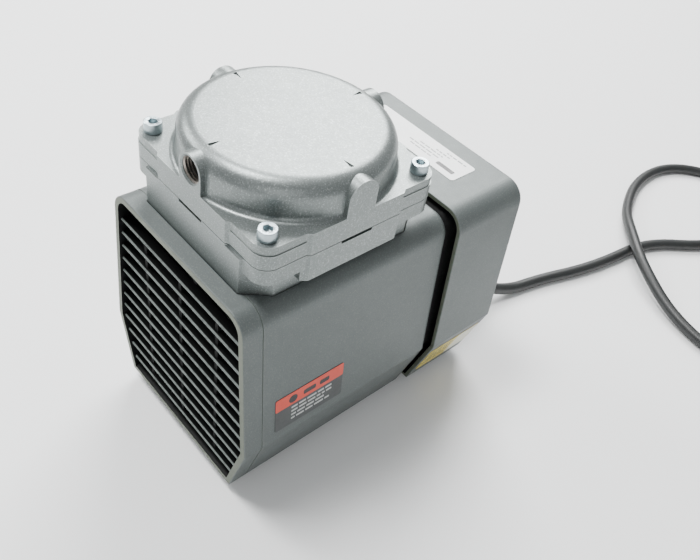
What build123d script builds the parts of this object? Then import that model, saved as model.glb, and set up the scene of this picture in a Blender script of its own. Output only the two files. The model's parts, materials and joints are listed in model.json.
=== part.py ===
"""Single-head diaphragm vacuum pump driven by a fan-cooled electric motor, in millimetres.

+X is to the right, +Y towards the cord end, +Z up. The origin is on the floor, under the middle of
the housing. The motor shaft runs along Y, and the pump head stands on top of the front half.
"""

import math
import os

from build123d import *

os.makedirs("parts", exist_ok=True)

# Housing: a front shroud and a slightly larger rear cover, both tapered with cut-away lower corners
housing_length = 177.0
front_y = -housing_length / 2
rear_y = housing_length / 2
foot_height = 6.0
shroud_halves = (47.9, 59.2, 52.0)  # half widths at the bottom, the widest level and the top
shroud_levels = (foot_height, 44.5, 134.0)
shroud_corner_radius = 11.0
shroud_wall = 2.8
shroud_length = 124.5
shroud_roll_radius = 3.0
rim_wall = 3.4
rim_depth = 10.0
cover_halves = (50.8, 62.9, 57.0)
cover_levels = (foot_height, 45.5, 136.8)
cover_corner_radius = 11.5
cover_wall = 2.2
cover_length = 49.3
cover_front_y = rear_y - cover_length
low_corner_radius = 3.0

# Grille
slat_count = 12
slat_pitch = 9.15
slat_top_z = 116.6
slat_thickness = 1.8
slat_depth = 5.4
slat_side_gap = 0.6
slat_recess = 1.2
rib_width = 2.2
rib_spacing = 30.0

# Pump head, square about its own vertical axis
head_y = -29.0
split_z = 154.8
split_gap = 0.4
flange_half = 49.7
flange_corner_radius = 8.0
pad_half = 51.0
pad_width = 51.0
pad_ramp = 3.0
head_flange_thickness = 11.7
head_flange_z = split_z + head_flange_thickness
case_flange_thickness = 9.5
pad_thickness = 14.3
screw_half_spacing = 42.6
dome_base_radius = 49.4
dome_top_radius = 48.8
dome_top_z = 184.3
dome_edge_radius = 8.0
dome_roof = 2.8
dome_foot_radius = 2.5
dome_cavity_radius = 41.0
boss_radius = 8.0
boss_z = 175.0
boss_length = 13.0
port_wall_radius = 6.2
port_mouth_radius = 7.0
port_chamfer_depth = 0.6

# Diaphragm and valves
diaphragm_thickness = 1.4
diaphragm_radius = 48.0
working_radius = 40.0
clamp_radius = 27.0
clamp_drop = 6.0
plate_radius = 44.0
plate_thickness = 7.0
leaf_thickness = 0.4
leaf_width = 11.0
leaf_gap = 0.3

# Motor
axis_z = 70.0
shaft_radius = 5.0
crank_throw = 3.0
stator_half = 42.0
stator_front_y = 10.0
stator_stack = 40.0
rotor_radius = 22.4
air_gap = 0.4
bolt_half_spacing = 36.0
wall_bearing_y = -10.0
rear_bearing_y = 62.0
bearing_width = 8.0
bearing_outer_radius = 13.0

# Feet and legs
foot_x = 37.0
front_foot_y = -50.0
rear_foot_y = 66.0
foot_radius = 8.5

# Cord
cord_diameter = 8.0
cord_radius = cord_diameter / 2
cord_exit_x = 24.0
cord_exit_z = 22.0
cord_route = [
    (24.0, rear_y, 22.0),
    (24.0, 119.0, 22.0),
    (35.0, 152.0, 4.1),
    (41.5, 184.0, 4.1),
    (51.5, 215.0, 4.1),
    (57.5, 243.0, 4.1),
    (63.0, 291.0, 4.1),
    (93.0, 330.0, 4.1),
    (110.0, 376.0, 4.1),
    (94.0, 420.0, 4.1),
    (50.0, 434.0, 4.1),
    (14.0, 404.0, 4.1),
    (10.0, 358.0, 4.1),
    (31.0, 307.0, 7.0),
    (53.0, 280.0, 12.9),
    (80.0, 254.0, 12.9),
    (122.0, 235.0, 5.0),
    (168.0, 230.0, 4.1),
    (211.0, 237.0, 4.1),
]
coil_centre = (214.0, 281.0)
coil_middle_radius = 44.0
coil_tail_length = 10.0


def cross_plane(y):
    """Plane across the housing at the given Y, with local Y pointing up and its normal forwards."""
    return Plane.XZ.offset(-y)


def housing_section(y, halves, levels, top_radius, inset=0.0):
    """Six-sided housing outline at one Y, moved inwards by the inset."""
    bottom_half, belly_half, top_half = halves
    bottom_z, belly_z, top_z = levels
    corners = [
        (-bottom_half, bottom_z),
        (bottom_half, bottom_z),
        (belly_half, belly_z),
        (top_half, top_z),
        (-top_half, top_z),
        (-belly_half, belly_z),
    ]
    with BuildSketch(cross_plane(y)) as outline:
        with BuildLine():
            Polyline(*corners, close=True)
        make_face()
        ordered = outline.vertices().group_by(Axis.Y)
        fillet(ordered[-1], top_radius)
        fillet(ordered[0] + ordered[1], low_corner_radius)
        if inset:
            offset(amount=-inset, kind=Kind.INTERSECTION)
    return outline.sketch


def housing_ring(y, size, outer_inset, inner_inset):
    """Band between two insets of the housing outline at one Y."""
    return housing_section(y, *size, inset=outer_inset) - housing_section(y, *size, inset=inner_inset)


def flange_outline(z, half):
    """Square flange of the pump head with rounded corner lobes."""
    with BuildSketch(Plane.XY.offset(z)) as outline:
        with Locations((0, head_y)):
            RectangleRounded(2 * half, 2 * half, flange_corner_radius)
    return outline.sketch


def pad_outline(z):
    """Middle stretches of the flange sides, which stand proud of the corner lobes."""
    proud = pad_width / 2
    foot = proud + pad_ramp
    root = flange_half - 1
    side = [(-foot, root), (-proud, pad_half), (proud, pad_half), (foot, root)]
    with BuildSketch(Plane.XY.offset(z)) as outline:
        with Locations((0, head_y)):
            Polygon(*side, *[(-x, -y) for x, y in side], align=None)
            Polygon(*[(y, x) for x, y in side], *[(-y, -x) for x, y in side], align=None)
    return outline.sketch


def head_corner_places():
    """Centres of the four head screws."""
    spacing = 2 * screw_half_spacing
    return [
        (x * spacing / 2, head_y + y * spacing / 2)
        for x in (-1, 1)
        for y in (-1, 1)
    ]


# ---------------------------------------------------------------- front shroud
neck_half_x = 45.0
neck_half_y = pad_half
neck_corner_x = 9.0
neck_corner_y = 12.0
neck_clearance = 0.4
neck_bottom_z = 118.0
rim_groove_depth = 0.3
rim_groove_width = 0.6
foot_screw_radius = 2.5
foot_screw_clearance = 0.2


def neck_outline(z, grow=0.0):
    """Neck of the crankcase: a rectangle with its corners cut off."""
    half_x = neck_half_x + grow
    half_y = neck_half_y + grow
    right = [
        (half_x - neck_corner_x, head_y - half_y),
        (half_x, head_y - half_y + neck_corner_y),
        (half_x, head_y + half_y - neck_corner_y),
        (half_x - neck_corner_x, head_y + half_y),
    ]
    left = [(-x, y) for x, y in reversed(right)]
    with BuildSketch(Plane.XY.offset(z)) as outline:
        with BuildLine():
            Polyline(*right, *left, close=True)
        make_face()
    return outline.sketch


with BuildPart() as front_shroud:
    shroud_size = (shroud_halves, shroud_levels, shroud_corner_radius)
    extrude(housing_section(front_y, *shroud_size), amount=-shroud_length)
    fillet(front_shroud.edges().group_by(Axis.Y)[-1], shroud_roll_radius)
    fillet(front_shroud.edges().group_by(Axis.Y)[0], 0.6)
    rim_hole = housing_section(front_y, *shroud_size, inset=rim_wall)
    extrude(rim_hole, amount=-rim_depth, mode=Mode.SUBTRACT)
    inner_hole = housing_section(front_y + rim_depth, *shroud_size, inset=shroud_wall)
    extrude(inner_hole, amount=-shroud_length, mode=Mode.SUBTRACT)
    rim_groove = housing_ring(front_y + rim_depth, shroud_size, -1.0, rim_groove_depth)
    extrude(rim_groove, amount=-rim_groove_width, mode=Mode.SUBTRACT)
    neck_hole = neck_outline(shroud_levels[2] + 1, grow=neck_clearance)
    extrude(neck_hole, amount=-10, mode=Mode.SUBTRACT)
    with BuildSketch(Plane.XY.offset(foot_height - 1)):
        with Locations((-foot_x, front_foot_y), (foot_x, front_foot_y)):
            Circle(foot_screw_radius + foot_screw_clearance)
    extrude(amount=10, mode=Mode.SUBTRACT)

# ---------------------------------------------------------------- front grille
grille_inset = rim_wall + slat_side_gap
rib_depth = 3.0

with BuildPart() as front_grille:
    slat_front_y = front_y + slat_recess
    slat_zs = [slat_top_z - slat_pitch * i for i in range(slat_count)]
    with BuildSketch(Plane.YZ) as slat_profile:
        with Locations(*[(slat_front_y + slat_depth / 2, z) for z in slat_zs]):
            SlotOverall(slat_depth, slat_thickness)
    extrude(amount=shroud_halves[1], both=True)
    rib_y = slat_front_y + slat_depth - rib_depth / 2 - slat_thickness / 2
    with BuildSketch(Plane.XY.offset(slat_zs[-1])):
        with GridLocations(rib_spacing, 0, 3, 1):
            with Locations((0, rib_y)):
                Rectangle(rib_width, rib_depth)
    extrude(amount=slat_zs[0] - slat_zs[-1])
    inside = housing_section(front_y, *shroud_size, inset=grille_inset)
    extrude(inside, amount=-rim_depth, mode=Mode.INTERSECT)

# Frame behind the slats, pressed into the shroud
frame_width = 4.0
frame_thickness = 1.4
with BuildPart() as grille_frame:
    frame_front_y = slat_front_y + slat_depth
    frame_ring = housing_ring(frame_front_y, shroud_size, rim_wall, rim_wall + frame_width)
    extrude(frame_ring, amount=-frame_thickness)

# ---------------------------------------------------------------- rear cover
vent_slot_width = 4.0
vent_slot_height = 46.0
vent_slot_pitch = 9.0
vent_slot_count = 9
cord_hole_radius = 7.0

with BuildPart() as rear_cover:
    cover_size = (cover_halves, cover_levels, cover_corner_radius)
    extrude(housing_section(cover_front_y, *cover_size), amount=-cover_length)
    fillet(rear_cover.edges().group_by(Axis.Y)[-1], 2.5)
    fillet(rear_cover.edges().group_by(Axis.Y)[0], 0.5)
    cover_hole = housing_section(cover_front_y, *cover_size, inset=cover_wall)
    extrude(cover_hole, amount=-(cover_length - cover_wall), mode=Mode.SUBTRACT)
    with BuildSketch(cross_plane(rear_y + 1)):
        with Locations((0, 84)):
            with GridLocations(vent_slot_pitch, 0, vent_slot_count, 1):
                SlotOverall(vent_slot_height, vent_slot_width, rotation=90)
        with Locations((cord_exit_x, cord_exit_z)):
            Circle(cord_hole_radius)
    extrude(amount=cover_wall + 2, mode=Mode.SUBTRACT)
    with BuildSketch(Plane.XY.offset(foot_height - 1)):
        with Locations((-foot_x, rear_foot_y), (foot_x, rear_foot_y)):
            Circle(foot_screw_radius + foot_screw_clearance)
    extrude(amount=10, mode=Mode.SUBTRACT)

# Black ring that bridges the gap between the shroud and the cover and guides the cooling air
baffle_front_y = front_y + shroud_length - 10.0
baffle_length = 26.0
baffle_clearance = 0.2
baffle_wall = 1.8
with BuildPart() as air_baffle:
    baffle_inset = shroud_wall + baffle_clearance
    extrude(
        housing_section(baffle_front_y, *shroud_size, inset=baffle_inset),
        amount=-baffle_length,
    )
    extrude(
        housing_section(baffle_front_y, *shroud_size, inset=baffle_inset + baffle_wall),
        amount=-baffle_length,
        mode=Mode.SUBTRACT,
    )

# ---------------------------------------------------------------- crankcase
case_flange_z = split_z - split_gap
diaphragm_seat_z = split_z - diaphragm_thickness
case_half_x = 40.0
case_front_y = -56.0
case_rear_y = wall_bearing_y + bearing_width
case_bottom_z = 34.0
case_wall = 5.0
leg_size = 13.0
pry_slot_width = 17.5
pry_slot_height = 1.3
pry_slot_depth = 3.0
service_window_radius = 26.0

with BuildPart() as crankcase:
    extrude(flange_outline(case_flange_z, flange_half), amount=-case_flange_thickness)
    chamfer(crankcase.edges().group_by(Axis.Z)[0], 1.5)
    extrude(pad_outline(case_flange_z), amount=-pad_thickness)
    extrude(neck_outline(case_flange_z - 1), amount=-(case_flange_z - 1 - neck_bottom_z))
    case_depth = case_rear_y - case_front_y
    with BuildSketch(Plane.XY.offset(case_bottom_z)):
        with Locations((0, case_front_y + case_depth / 2)):
            Rectangle(2 * case_half_x, case_depth)
    extrude(amount=neck_bottom_z - case_bottom_z)
    # working chamber under the diaphragm, then the crank chamber below it
    with BuildSketch(Plane.XY.offset(case_flange_z)):
        with Locations((0, head_y)):
            Circle(working_radius)
    extrude(amount=-(case_flange_z - neck_bottom_z - case_wall), mode=Mode.SUBTRACT)
    with BuildSketch(Plane.XY.offset(case_flange_z)):
        with Locations((0, head_y)):
            Circle(diaphragm_radius + 0.1)
    extrude(amount=-(case_flange_z - diaphragm_seat_z), mode=Mode.SUBTRACT)
    chamber_depth = wall_bearing_y - case_front_y - case_wall
    with BuildSketch(Plane.XY.offset(case_bottom_z + case_wall)):
        with Locations((0, case_front_y + case_wall + chamber_depth / 2)):
            Rectangle(2 * (case_half_x - case_wall), chamber_depth)
    extrude(amount=neck_bottom_z - case_bottom_z + 1, mode=Mode.SUBTRACT)
    # service window at the front, bearing seat at the back
    with BuildSketch(cross_plane(case_front_y - 1)):
        with Locations((0, axis_z)):
            Circle(service_window_radius)
    extrude(amount=-(case_wall + 2), mode=Mode.SUBTRACT)
    with BuildSketch(cross_plane(wall_bearing_y - 1)):
        with Locations((0, axis_z)):
            Circle(bearing_outer_radius)
    extrude(amount=-(bearing_width + 2), mode=Mode.SUBTRACT)
    # bosses that the motor bolts screw into
    with BuildSketch(cross_plane(case_rear_y)):
        with Locations((0, axis_z)):
            with GridLocations(2 * bolt_half_spacing, 2 * bolt_half_spacing, 2, 2):
                Circle(6)
    extrude(amount=-(stator_front_y - case_rear_y))
    with BuildSketch(cross_plane(stator_front_y + 1)):
        with Locations((0, axis_z)):
            with GridLocations(2 * bolt_half_spacing, 2 * bolt_half_spacing, 2, 2):
                Circle(2)
    extrude(amount=15, mode=Mode.SUBTRACT)
    # legs down to the floor of the shroud
    leg_foot_z = foot_height + shroud_wall
    with BuildSketch(Plane.XY.offset(leg_foot_z)):
        with Locations((-foot_x + 3, front_foot_y), (foot_x - 3, front_foot_y)):
            Rectangle(leg_size + 6, leg_size - 1)
    extrude(amount=case_bottom_z - leg_foot_z + 2)
    with BuildSketch(Plane.XY.offset(leg_foot_z)):
        with Locations((-foot_x, front_foot_y), (foot_x, front_foot_y)):
            Circle(foot_screw_radius)
    extrude(amount=14, mode=Mode.SUBTRACT)
    # head screw holes and pry slots
    with BuildSketch(Plane.XY.offset(case_flange_z)):
        with Locations(*head_corner_places()):
            Circle(2.5)
    extrude(amount=-case_flange_thickness, mode=Mode.SUBTRACT)
    with BuildSketch(Plane.XY.offset(case_flange_z)):
        with Locations((0, head_y)):
            with PolarLocations(pad_half - pry_slot_depth / 2 + 0.5, 4):
                Rectangle(pry_slot_depth + 1, pry_slot_width)
    extrude(amount=-pry_slot_height, mode=Mode.SUBTRACT)

# ---------------------------------------------------------------- head cover
step_height = 4.4
step_inset = 0.35
plate_seat_z = split_z + plate_thickness
gasket_thickness = 0.8
cavity_floor_z = plate_seat_z + gasket_thickness
partition_thickness = 4.0
dart_length = 6.0
dart_width = 2.2
dart_depth = 0.8
dart_radius = 41.8

dome_slope = (dome_base_radius - dome_top_radius) / (dome_top_z - head_flange_z + 1)
foot_top_z = head_flange_z + dome_foot_radius
foot_top_radius = dome_base_radius - dome_slope * (dome_foot_radius + 1)
foot_arc_depth = dome_foot_radius * math.sqrt(0.5)

# Hollow fillet between the dome and the flange, trimmed to the flange's outline
with BuildPart() as dome_foot:
    with BuildSketch(Plane.XZ.offset(-head_y)):
        with BuildLine():
            ThreePointArc(
                (foot_top_radius + dome_foot_radius, head_flange_z),
                (foot_top_radius + dome_foot_radius - foot_arc_depth, foot_top_z - foot_arc_depth),
                (foot_top_radius, foot_top_z),
            )
            Polyline(
                (foot_top_radius, foot_top_z),
                (dome_cavity_radius + 2, foot_top_z),
                (dome_cavity_radius + 2, head_flange_z - 1),
                (foot_top_radius + dome_foot_radius, head_flange_z - 1),
                (foot_top_radius + dome_foot_radius, head_flange_z),
            )
        make_face()
    revolve(axis=Axis((0, head_y, 0), (0, 0, 1)))
    lobes = flange_outline(head_flange_z - 1, flange_half - step_inset)
    extrude(lobes + pad_outline(head_flange_z - 1), amount=dome_foot_radius + 1, mode=Mode.INTERSECT)

with BuildPart() as head_cover:
    extrude(flange_outline(split_z, flange_half), amount=head_flange_thickness - step_height)
    extrude(flange_outline(split_z, flange_half - step_inset), amount=head_flange_thickness)
    extrude(pad_outline(split_z), amount=head_flange_thickness)
    # domed cap, slightly tapered, with a rounded upper edge
    with BuildSketch(Plane.XZ.offset(-head_y)):
        with BuildLine():
            cap_side = Line((dome_base_radius, head_flange_z - 1), (dome_top_radius, dome_top_z))
            cap_top = Line(cap_side @ 1, (0, dome_top_z))
            Polyline(cap_top @ 1, (0, head_flange_z - 1), cap_side @ 0)
        make_face()
    revolve(axis=Axis((0, head_y, 0), (0, 0, 1)))
    fillet(head_cover.edges().group_by(Axis.Z)[-1], dome_edge_radius)
    add(dome_foot.part)
    # four side bosses, flush with the middle of the flange sides
    for turn in range(4):
        out = Vector(1, 0, 0).rotate(Axis.Z, 90 * turn)
        face_middle = Vector(0, head_y, boss_z) + out * pad_half
        with BuildSketch(Plane(face_middle, x_dir=(-out.Y, out.X, 0), z_dir=out)):
            Circle(boss_radius)
            with Locations((0, (head_flange_z - 1 - boss_z) / 2)):
                Rectangle(2 * boss_radius, boss_z - head_flange_z + 1)
        extrude(amount=-boss_length)
    # small pointers sunk into the roof, one beside each boss
    dart_points = [
        (dart_radius - dart_length, 0),
        (dart_radius, dart_width / 2),
        (dart_radius, -dart_width / 2),
    ]
    with BuildSketch(Plane.XY.offset(dome_top_z - dart_depth)):
        with Locations((0, head_y)):
            with PolarLocations(0, 4):
                Polygon(*dart_points, align=None)
    extrude(amount=dart_depth + 1, mode=Mode.SUBTRACT)
    # underside: valve plate seat, then two cavities with a wall between them
    with BuildSketch(Plane.XY.offset(split_z)):
        with Locations((0, head_y)):
            Circle(plate_radius)
    extrude(amount=plate_thickness + gasket_thickness, mode=Mode.SUBTRACT)
    with BuildSketch(Plane.XY.offset(cavity_floor_z)):
        with Locations((0, head_y)):
            Circle(dome_cavity_radius)
            Rectangle(2 * plate_radius, partition_thickness, mode=Mode.SUBTRACT)
    extrude(amount=dome_top_z - dome_roof - cavity_floor_z, mode=Mode.SUBTRACT)
    # threaded ports, in at the front and out at the back
    for side in (-1, 1):
        mouth_y = head_y + side * pad_half
        with BuildSketch(cross_plane(mouth_y)):
            with Locations((0, boss_z)):
                Circle(port_wall_radius)
        extrude(amount=side * 12, mode=Mode.SUBTRACT)
        with BuildSketch(Plane.YZ):
            with BuildLine():
                Polyline(
                    (mouth_y + side, boss_z),
                    (mouth_y + side, boss_z + port_mouth_radius),
                    (mouth_y, boss_z + port_mouth_radius),
                    (mouth_y - side * port_chamfer_depth, boss_z + port_wall_radius),
                    (mouth_y - side * port_chamfer_depth, boss_z),
                    close=True,
                )
            make_face()
        revolve(axis=Axis((0, mouth_y, boss_z), (0, 1, 0)), mode=Mode.SUBTRACT)
    with BuildSketch(Plane.XY.offset(split_z)):
        with Locations(*head_corner_places()):
            Circle(2.75)
    extrude(amount=head_flange_thickness + 1, mode=Mode.SUBTRACT)

# ---------------------------------------------------------------- valve plate, gasket and leaves
chamber_dish_radius = 32.0
chamber_dish_depth = 3.0
leaf_pocket_depth = 2.4
intake_leaf_y = head_y - 17.0
exhaust_leaf_y = head_y + 17.0
leaf_root_length = 6.0
leaf_flap_length = 18.0
leaf_length = leaf_root_length + leaf_gap + leaf_flap_length
leaf_left_x = -leaf_length / 2
leaf_hinge_x = leaf_left_x + leaf_root_length + leaf_gap / 2
leaf_screw_x = leaf_left_x + leaf_root_length / 2
leaf_screw_radius = 1.5
valve_hole_radius = 1.6
valve_hole_x = leaf_left_x + leaf_length - 7.0
intake_ceiling_z = split_z + chamber_dish_depth + leaf_pocket_depth

with BuildPart() as valve_plate:
    with BuildSketch(Plane.XY.offset(split_z)):
        with Locations((0, head_y)):
            Circle(plate_radius - 0.1)
    extrude(amount=plate_thickness)
    with BuildSketch(Plane.XY.offset(split_z)):
        with Locations((0, head_y)):
            Circle(chamber_dish_radius)
    extrude(amount=chamber_dish_depth, mode=Mode.SUBTRACT)
    with BuildSketch(Plane.XY.offset(split_z)):
        with Locations((0, intake_leaf_y)):
            Rectangle(leaf_length + 3, leaf_width + 3)
    extrude(amount=chamber_dish_depth + leaf_pocket_depth, mode=Mode.SUBTRACT)
    with BuildSketch(Plane.XY.offset(split_z)):
        for leaf_y in (intake_leaf_y, exhaust_leaf_y):
            with Locations((valve_hole_x, leaf_y)):
                with PolarLocations(2.8, 3):
                    Circle(valve_hole_radius)
            with Locations((leaf_screw_x, leaf_y)):
                Circle(leaf_screw_radius)
    extrude(amount=plate_thickness, mode=Mode.SUBTRACT)

with BuildPart() as valve_gasket:
    with BuildSketch(Plane.XY.offset(plate_seat_z)):
        with Locations((0, head_y)):
            Circle(plate_radius - 0.1)
            Circle(dome_cavity_radius, mode=Mode.SUBTRACT)
            Rectangle(2 * dome_cavity_radius + 1, partition_thickness)
    extrude(amount=gasket_thickness)


def leaf_root(leaf_y, z):
    """Clamped end of a valve leaf, with its screw hole."""
    with BuildPart() as root:
        with BuildSketch(Plane.XY.offset(z)):
            with Locations((leaf_screw_x, leaf_y)):
                Rectangle(leaf_root_length, leaf_width)
                Circle(leaf_screw_radius, mode=Mode.SUBTRACT)
        extrude(amount=leaf_thickness)
    return root.part


def leaf_flap(leaf_y, z):
    """Free end of a valve leaf, rounded over the valve holes."""
    flap_left_x = leaf_left_x + leaf_root_length + leaf_gap
    with BuildPart() as flap:
        with BuildSketch(Plane.XY.offset(z)) as outline:
            with Locations((flap_left_x + leaf_flap_length / 2, leaf_y)):
                Rectangle(leaf_flap_length, leaf_width)
            fillet(outline.vertices().group_by(Axis.X)[-1], leaf_width / 2 - 0.5)
        extrude(amount=leaf_thickness)
    return flap.part


intake_leaf_z = intake_ceiling_z - leaf_thickness
exhaust_leaf_z = split_z + plate_thickness
with BuildPart() as valve_leaf_roots:
    add(leaf_root(intake_leaf_y, intake_leaf_z))
    add(leaf_root(exhaust_leaf_y, exhaust_leaf_z))
with BuildPart() as intake_flap:
    add(leaf_flap(intake_leaf_y, intake_leaf_z))
with BuildPart() as exhaust_flap:
    add(leaf_flap(exhaust_leaf_y, exhaust_leaf_z))

valve_screw_head_radius = 2.7
valve_screw_head_height = 1.6
with BuildPart() as valve_screws:
    with BuildSketch(Plane.XY.offset(intake_leaf_z)):
        with Locations((leaf_screw_x, intake_leaf_y)):
            Circle(valve_screw_head_radius)
    extrude(amount=-valve_screw_head_height)
    with BuildSketch(Plane.XY.offset(intake_leaf_z)):
        with Locations((leaf_screw_x, intake_leaf_y)):
            Circle(leaf_screw_radius)
    extrude(amount=plate_seat_z - intake_leaf_z - 0.3)
    with BuildSketch(Plane.XY.offset(exhaust_leaf_z + leaf_thickness)):
        with Locations((leaf_screw_x, exhaust_leaf_y)):
            Circle(valve_screw_head_radius)
    extrude(amount=valve_screw_head_height)
    with BuildSketch(Plane.XY.offset(split_z + chamber_dish_depth)):
        with Locations((leaf_screw_x, exhaust_leaf_y)):
            Circle(leaf_screw_radius)
    extrude(amount=plate_thickness - chamber_dish_depth + leaf_thickness)

# ---------------------------------------------------------------- diaphragm, drawn down at rest
diaphragm_mid_z = diaphragm_seat_z + diaphragm_thickness / 2
with BuildPart() as diaphragm:
    half_sheet = diaphragm_thickness / 2
    with BuildSketch(Plane.XZ.offset(-head_y)) as sheet_profile:
        with BuildLine() as sheet_line:
            rim_run = Line((diaphragm_radius, diaphragm_mid_z), (working_radius - 1, diaphragm_mid_z))
            convolution = Spline(
                rim_run @ 1,
                (clamp_radius + 1.5, diaphragm_mid_z - clamp_drop),
                tangents=((-1, 0), (-1, 0)),
            )
            Line(convolution @ 1, (3.0, diaphragm_mid_z - clamp_drop))
        trace(line_width=diaphragm_thickness)
    revolve(axis=Axis((0, head_y, 0), (0, 0, 1)))
    with BuildSketch(Plane.XY.offset(diaphragm_mid_z - clamp_drop - 2)):
        with Locations((0, head_y)):
            Circle(3.0)
    extrude(amount=4, mode=Mode.SUBTRACT)
    with BuildSketch(Plane.XY.offset(diaphragm_seat_z)):
        with Locations((0, head_y)):
            Circle(diaphragm_radius + 2)
            Circle(diaphragm_radius, mode=Mode.SUBTRACT)
    extrude(amount=diaphragm_thickness, mode=Mode.SUBTRACT)

# ---------------------------------------------------------------- connecting rod and its clamp
rod_axis_z = axis_z - crank_throw
rod_bearing_outer = 21.0
rod_bearing_bore = 10.0
rod_bearing_width = 12.0
rod_width = 12.0
big_end_radius = 27.0
clamp_centre_z = diaphragm_mid_z - clamp_drop
lower_clamp_thickness = 4.0
upper_clamp_thickness = 2.5
rod_seat_z = clamp_centre_z - diaphragm_thickness / 2 - lower_clamp_thickness
rod_head_radius = 11.0
rod_head_height = 5.0
rod_stem_half = 7.0
rod_front_y = head_y - rod_width / 2
clamp_screw_radius = 3.0

with BuildPart() as connecting_rod:
    with BuildSketch(cross_plane(rod_front_y)):
        with Locations((0, rod_axis_z)):
            Circle(big_end_radius)
    extrude(amount=-rod_width)
    with BuildSketch(cross_plane(rod_front_y)):
        with Locations((0, (rod_axis_z + rod_seat_z) / 2)):
            Rectangle(2 * rod_stem_half, rod_seat_z - rod_axis_z)
    extrude(amount=-rod_width)
    fillet(connecting_rod.edges().filter_by(Axis.Z), 2.0)
    with BuildSketch(Plane.XY.offset(rod_seat_z)):
        with Locations((0, head_y)):
            Circle(rod_head_radius)
    extrude(amount=-rod_head_height)
    with BuildSketch(cross_plane(rod_front_y)):
        with Locations((0, rod_axis_z)):
            Circle(rod_bearing_outer)
    extrude(amount=-rod_width, mode=Mode.SUBTRACT)
    with BuildSketch(Plane.XY.offset(rod_seat_z)):
        with Locations((0, head_y)):
            Circle(clamp_screw_radius)
    extrude(amount=-16, mode=Mode.SUBTRACT)

with BuildPart() as lower_clamp_disc:
    with BuildSketch(Plane.XY.offset(rod_seat_z)):
        with Locations((0, head_y)):
            Circle(clamp_radius)
            Circle(clamp_screw_radius, mode=Mode.SUBTRACT)
    extrude(amount=lower_clamp_thickness)
    fillet(lower_clamp_disc.edges().group_by(Axis.Z)[-1].sort_by(SortBy.LENGTH)[-1], 1.5)

upper_clamp_z = clamp_centre_z + diaphragm_thickness / 2
screw_cone_radius = 6.0
with BuildPart() as upper_clamp_disc:
    with BuildSketch(Plane.XY.offset(upper_clamp_z)):
        with Locations((0, head_y)):
            Circle(clamp_radius - 0.5)
    extrude(amount=upper_clamp_thickness)
    fillet(upper_clamp_disc.edges().group_by(Axis.Z)[0], 1.2)
    with BuildSketch(Plane.XZ.offset(-head_y)):
        with BuildLine():
            Polyline(
                (0, upper_clamp_z),
                (clamp_screw_radius, upper_clamp_z),
                (screw_cone_radius, upper_clamp_z + upper_clamp_thickness),
                (0, upper_clamp_z + upper_clamp_thickness),
                close=True,
            )
        make_face()
    revolve(axis=Axis((0, head_y, 0), (0, 0, 1)), mode=Mode.SUBTRACT)

with BuildPart() as clamp_screw:
    with BuildSketch(Plane.XZ.offset(-head_y)):
        with BuildLine():
            Polyline(
                (0, rod_seat_z - 14),
                (clamp_screw_radius, rod_seat_z - 14),
                (clamp_screw_radius, upper_clamp_z),
                (screw_cone_radius, upper_clamp_z + upper_clamp_thickness),
                (0, upper_clamp_z + upper_clamp_thickness),
                close=True,
            )
        make_face()
    revolve(axis=Axis((0, head_y, 0), (0, 0, 1)))
    with BuildSketch(Plane.XY.offset(upper_clamp_z + upper_clamp_thickness)):
        with Locations((0, head_y)):
            RegularPolygon(2.2, 6)
    extrude(amount=-2.0, mode=Mode.SUBTRACT)

# ---------------------------------------------------------------- bearings
ring_thickness = 2.4
race_gap = 0.3


def ring(centre_x, centre_z, y, width, outer, inner):
    """Plain ring along Y, starting at y."""
    with BuildPart() as piece:
        with BuildSketch(cross_plane(y)):
            with Locations((centre_x, centre_z)):
                Circle(outer)
                Circle(inner, mode=Mode.SUBTRACT)
        extrude(amount=-width)
        fillet(piece.edges().filter_by(GeomType.CIRCLE).group_by(SortBy.RADIUS)[-1], 0.4)
    return piece.part


def ball_ring(centre_x, centre_z, y, pitch_radius, ball_radius, count):
    """Ring of balls around an axis along Y."""
    with BuildPart() as balls:
        for i in range(count):
            angle = 2 * math.pi * i / count
            place = (
                centre_x + pitch_radius * math.cos(angle),
                y,
                centre_z + pitch_radius * math.sin(angle),
            )
            with Locations(place):
                Sphere(ball_radius)
    return balls.part


shaft_race_outer = shaft_radius + ring_thickness
shaft_race_inner = bearing_outer_radius - ring_thickness
shaft_ball_radius = (shaft_race_inner - shaft_race_outer) / 2 - race_gap
shaft_ball_pitch = (shaft_race_inner + shaft_race_outer) / 2
shaft_bearing_ys = (wall_bearing_y, rear_bearing_y)
shaft_ball_count = 8

with BuildPart() as bearing_outer_rings:
    for bearing_y in shaft_bearing_ys:
        add(ring(0, axis_z, bearing_y, bearing_width, bearing_outer_radius, shaft_race_inner))
with BuildPart() as bearing_balls:
    for bearing_y in shaft_bearing_ys:
        middle_y = bearing_y + bearing_width / 2
        add(ball_ring(0, axis_z, middle_y, shaft_ball_pitch, shaft_ball_radius, shaft_ball_count))
with BuildPart() as bearing_inner_rings:
    for bearing_y in shaft_bearing_ys:
        add(ring(0, axis_z, bearing_y, bearing_width, shaft_race_outer, shaft_radius))

rod_race_inner = rod_bearing_outer - 3.2
rod_race_outer = rod_bearing_bore + 3.2
rod_bearing_y = head_y - rod_bearing_width / 2
rod_ball_radius = (rod_race_inner - rod_race_outer) / 2 - race_gap
rod_ball_pitch = (rod_race_inner + rod_race_outer) / 2
rod_ball_count = 11
with BuildPart() as rod_bearing_outer_ring:
    add(ring(0, rod_axis_z, rod_bearing_y, rod_bearing_width, rod_bearing_outer, rod_race_inner))
with BuildPart() as rod_bearing_balls:
    add(ball_ring(0, rod_axis_z, head_y, rod_ball_pitch, rod_ball_radius, rod_ball_count))
with BuildPart() as rod_bearing_inner_ring:
    add(ring(0, rod_axis_z, rod_bearing_y, rod_bearing_width, rod_race_outer, rod_bearing_bore))

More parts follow.
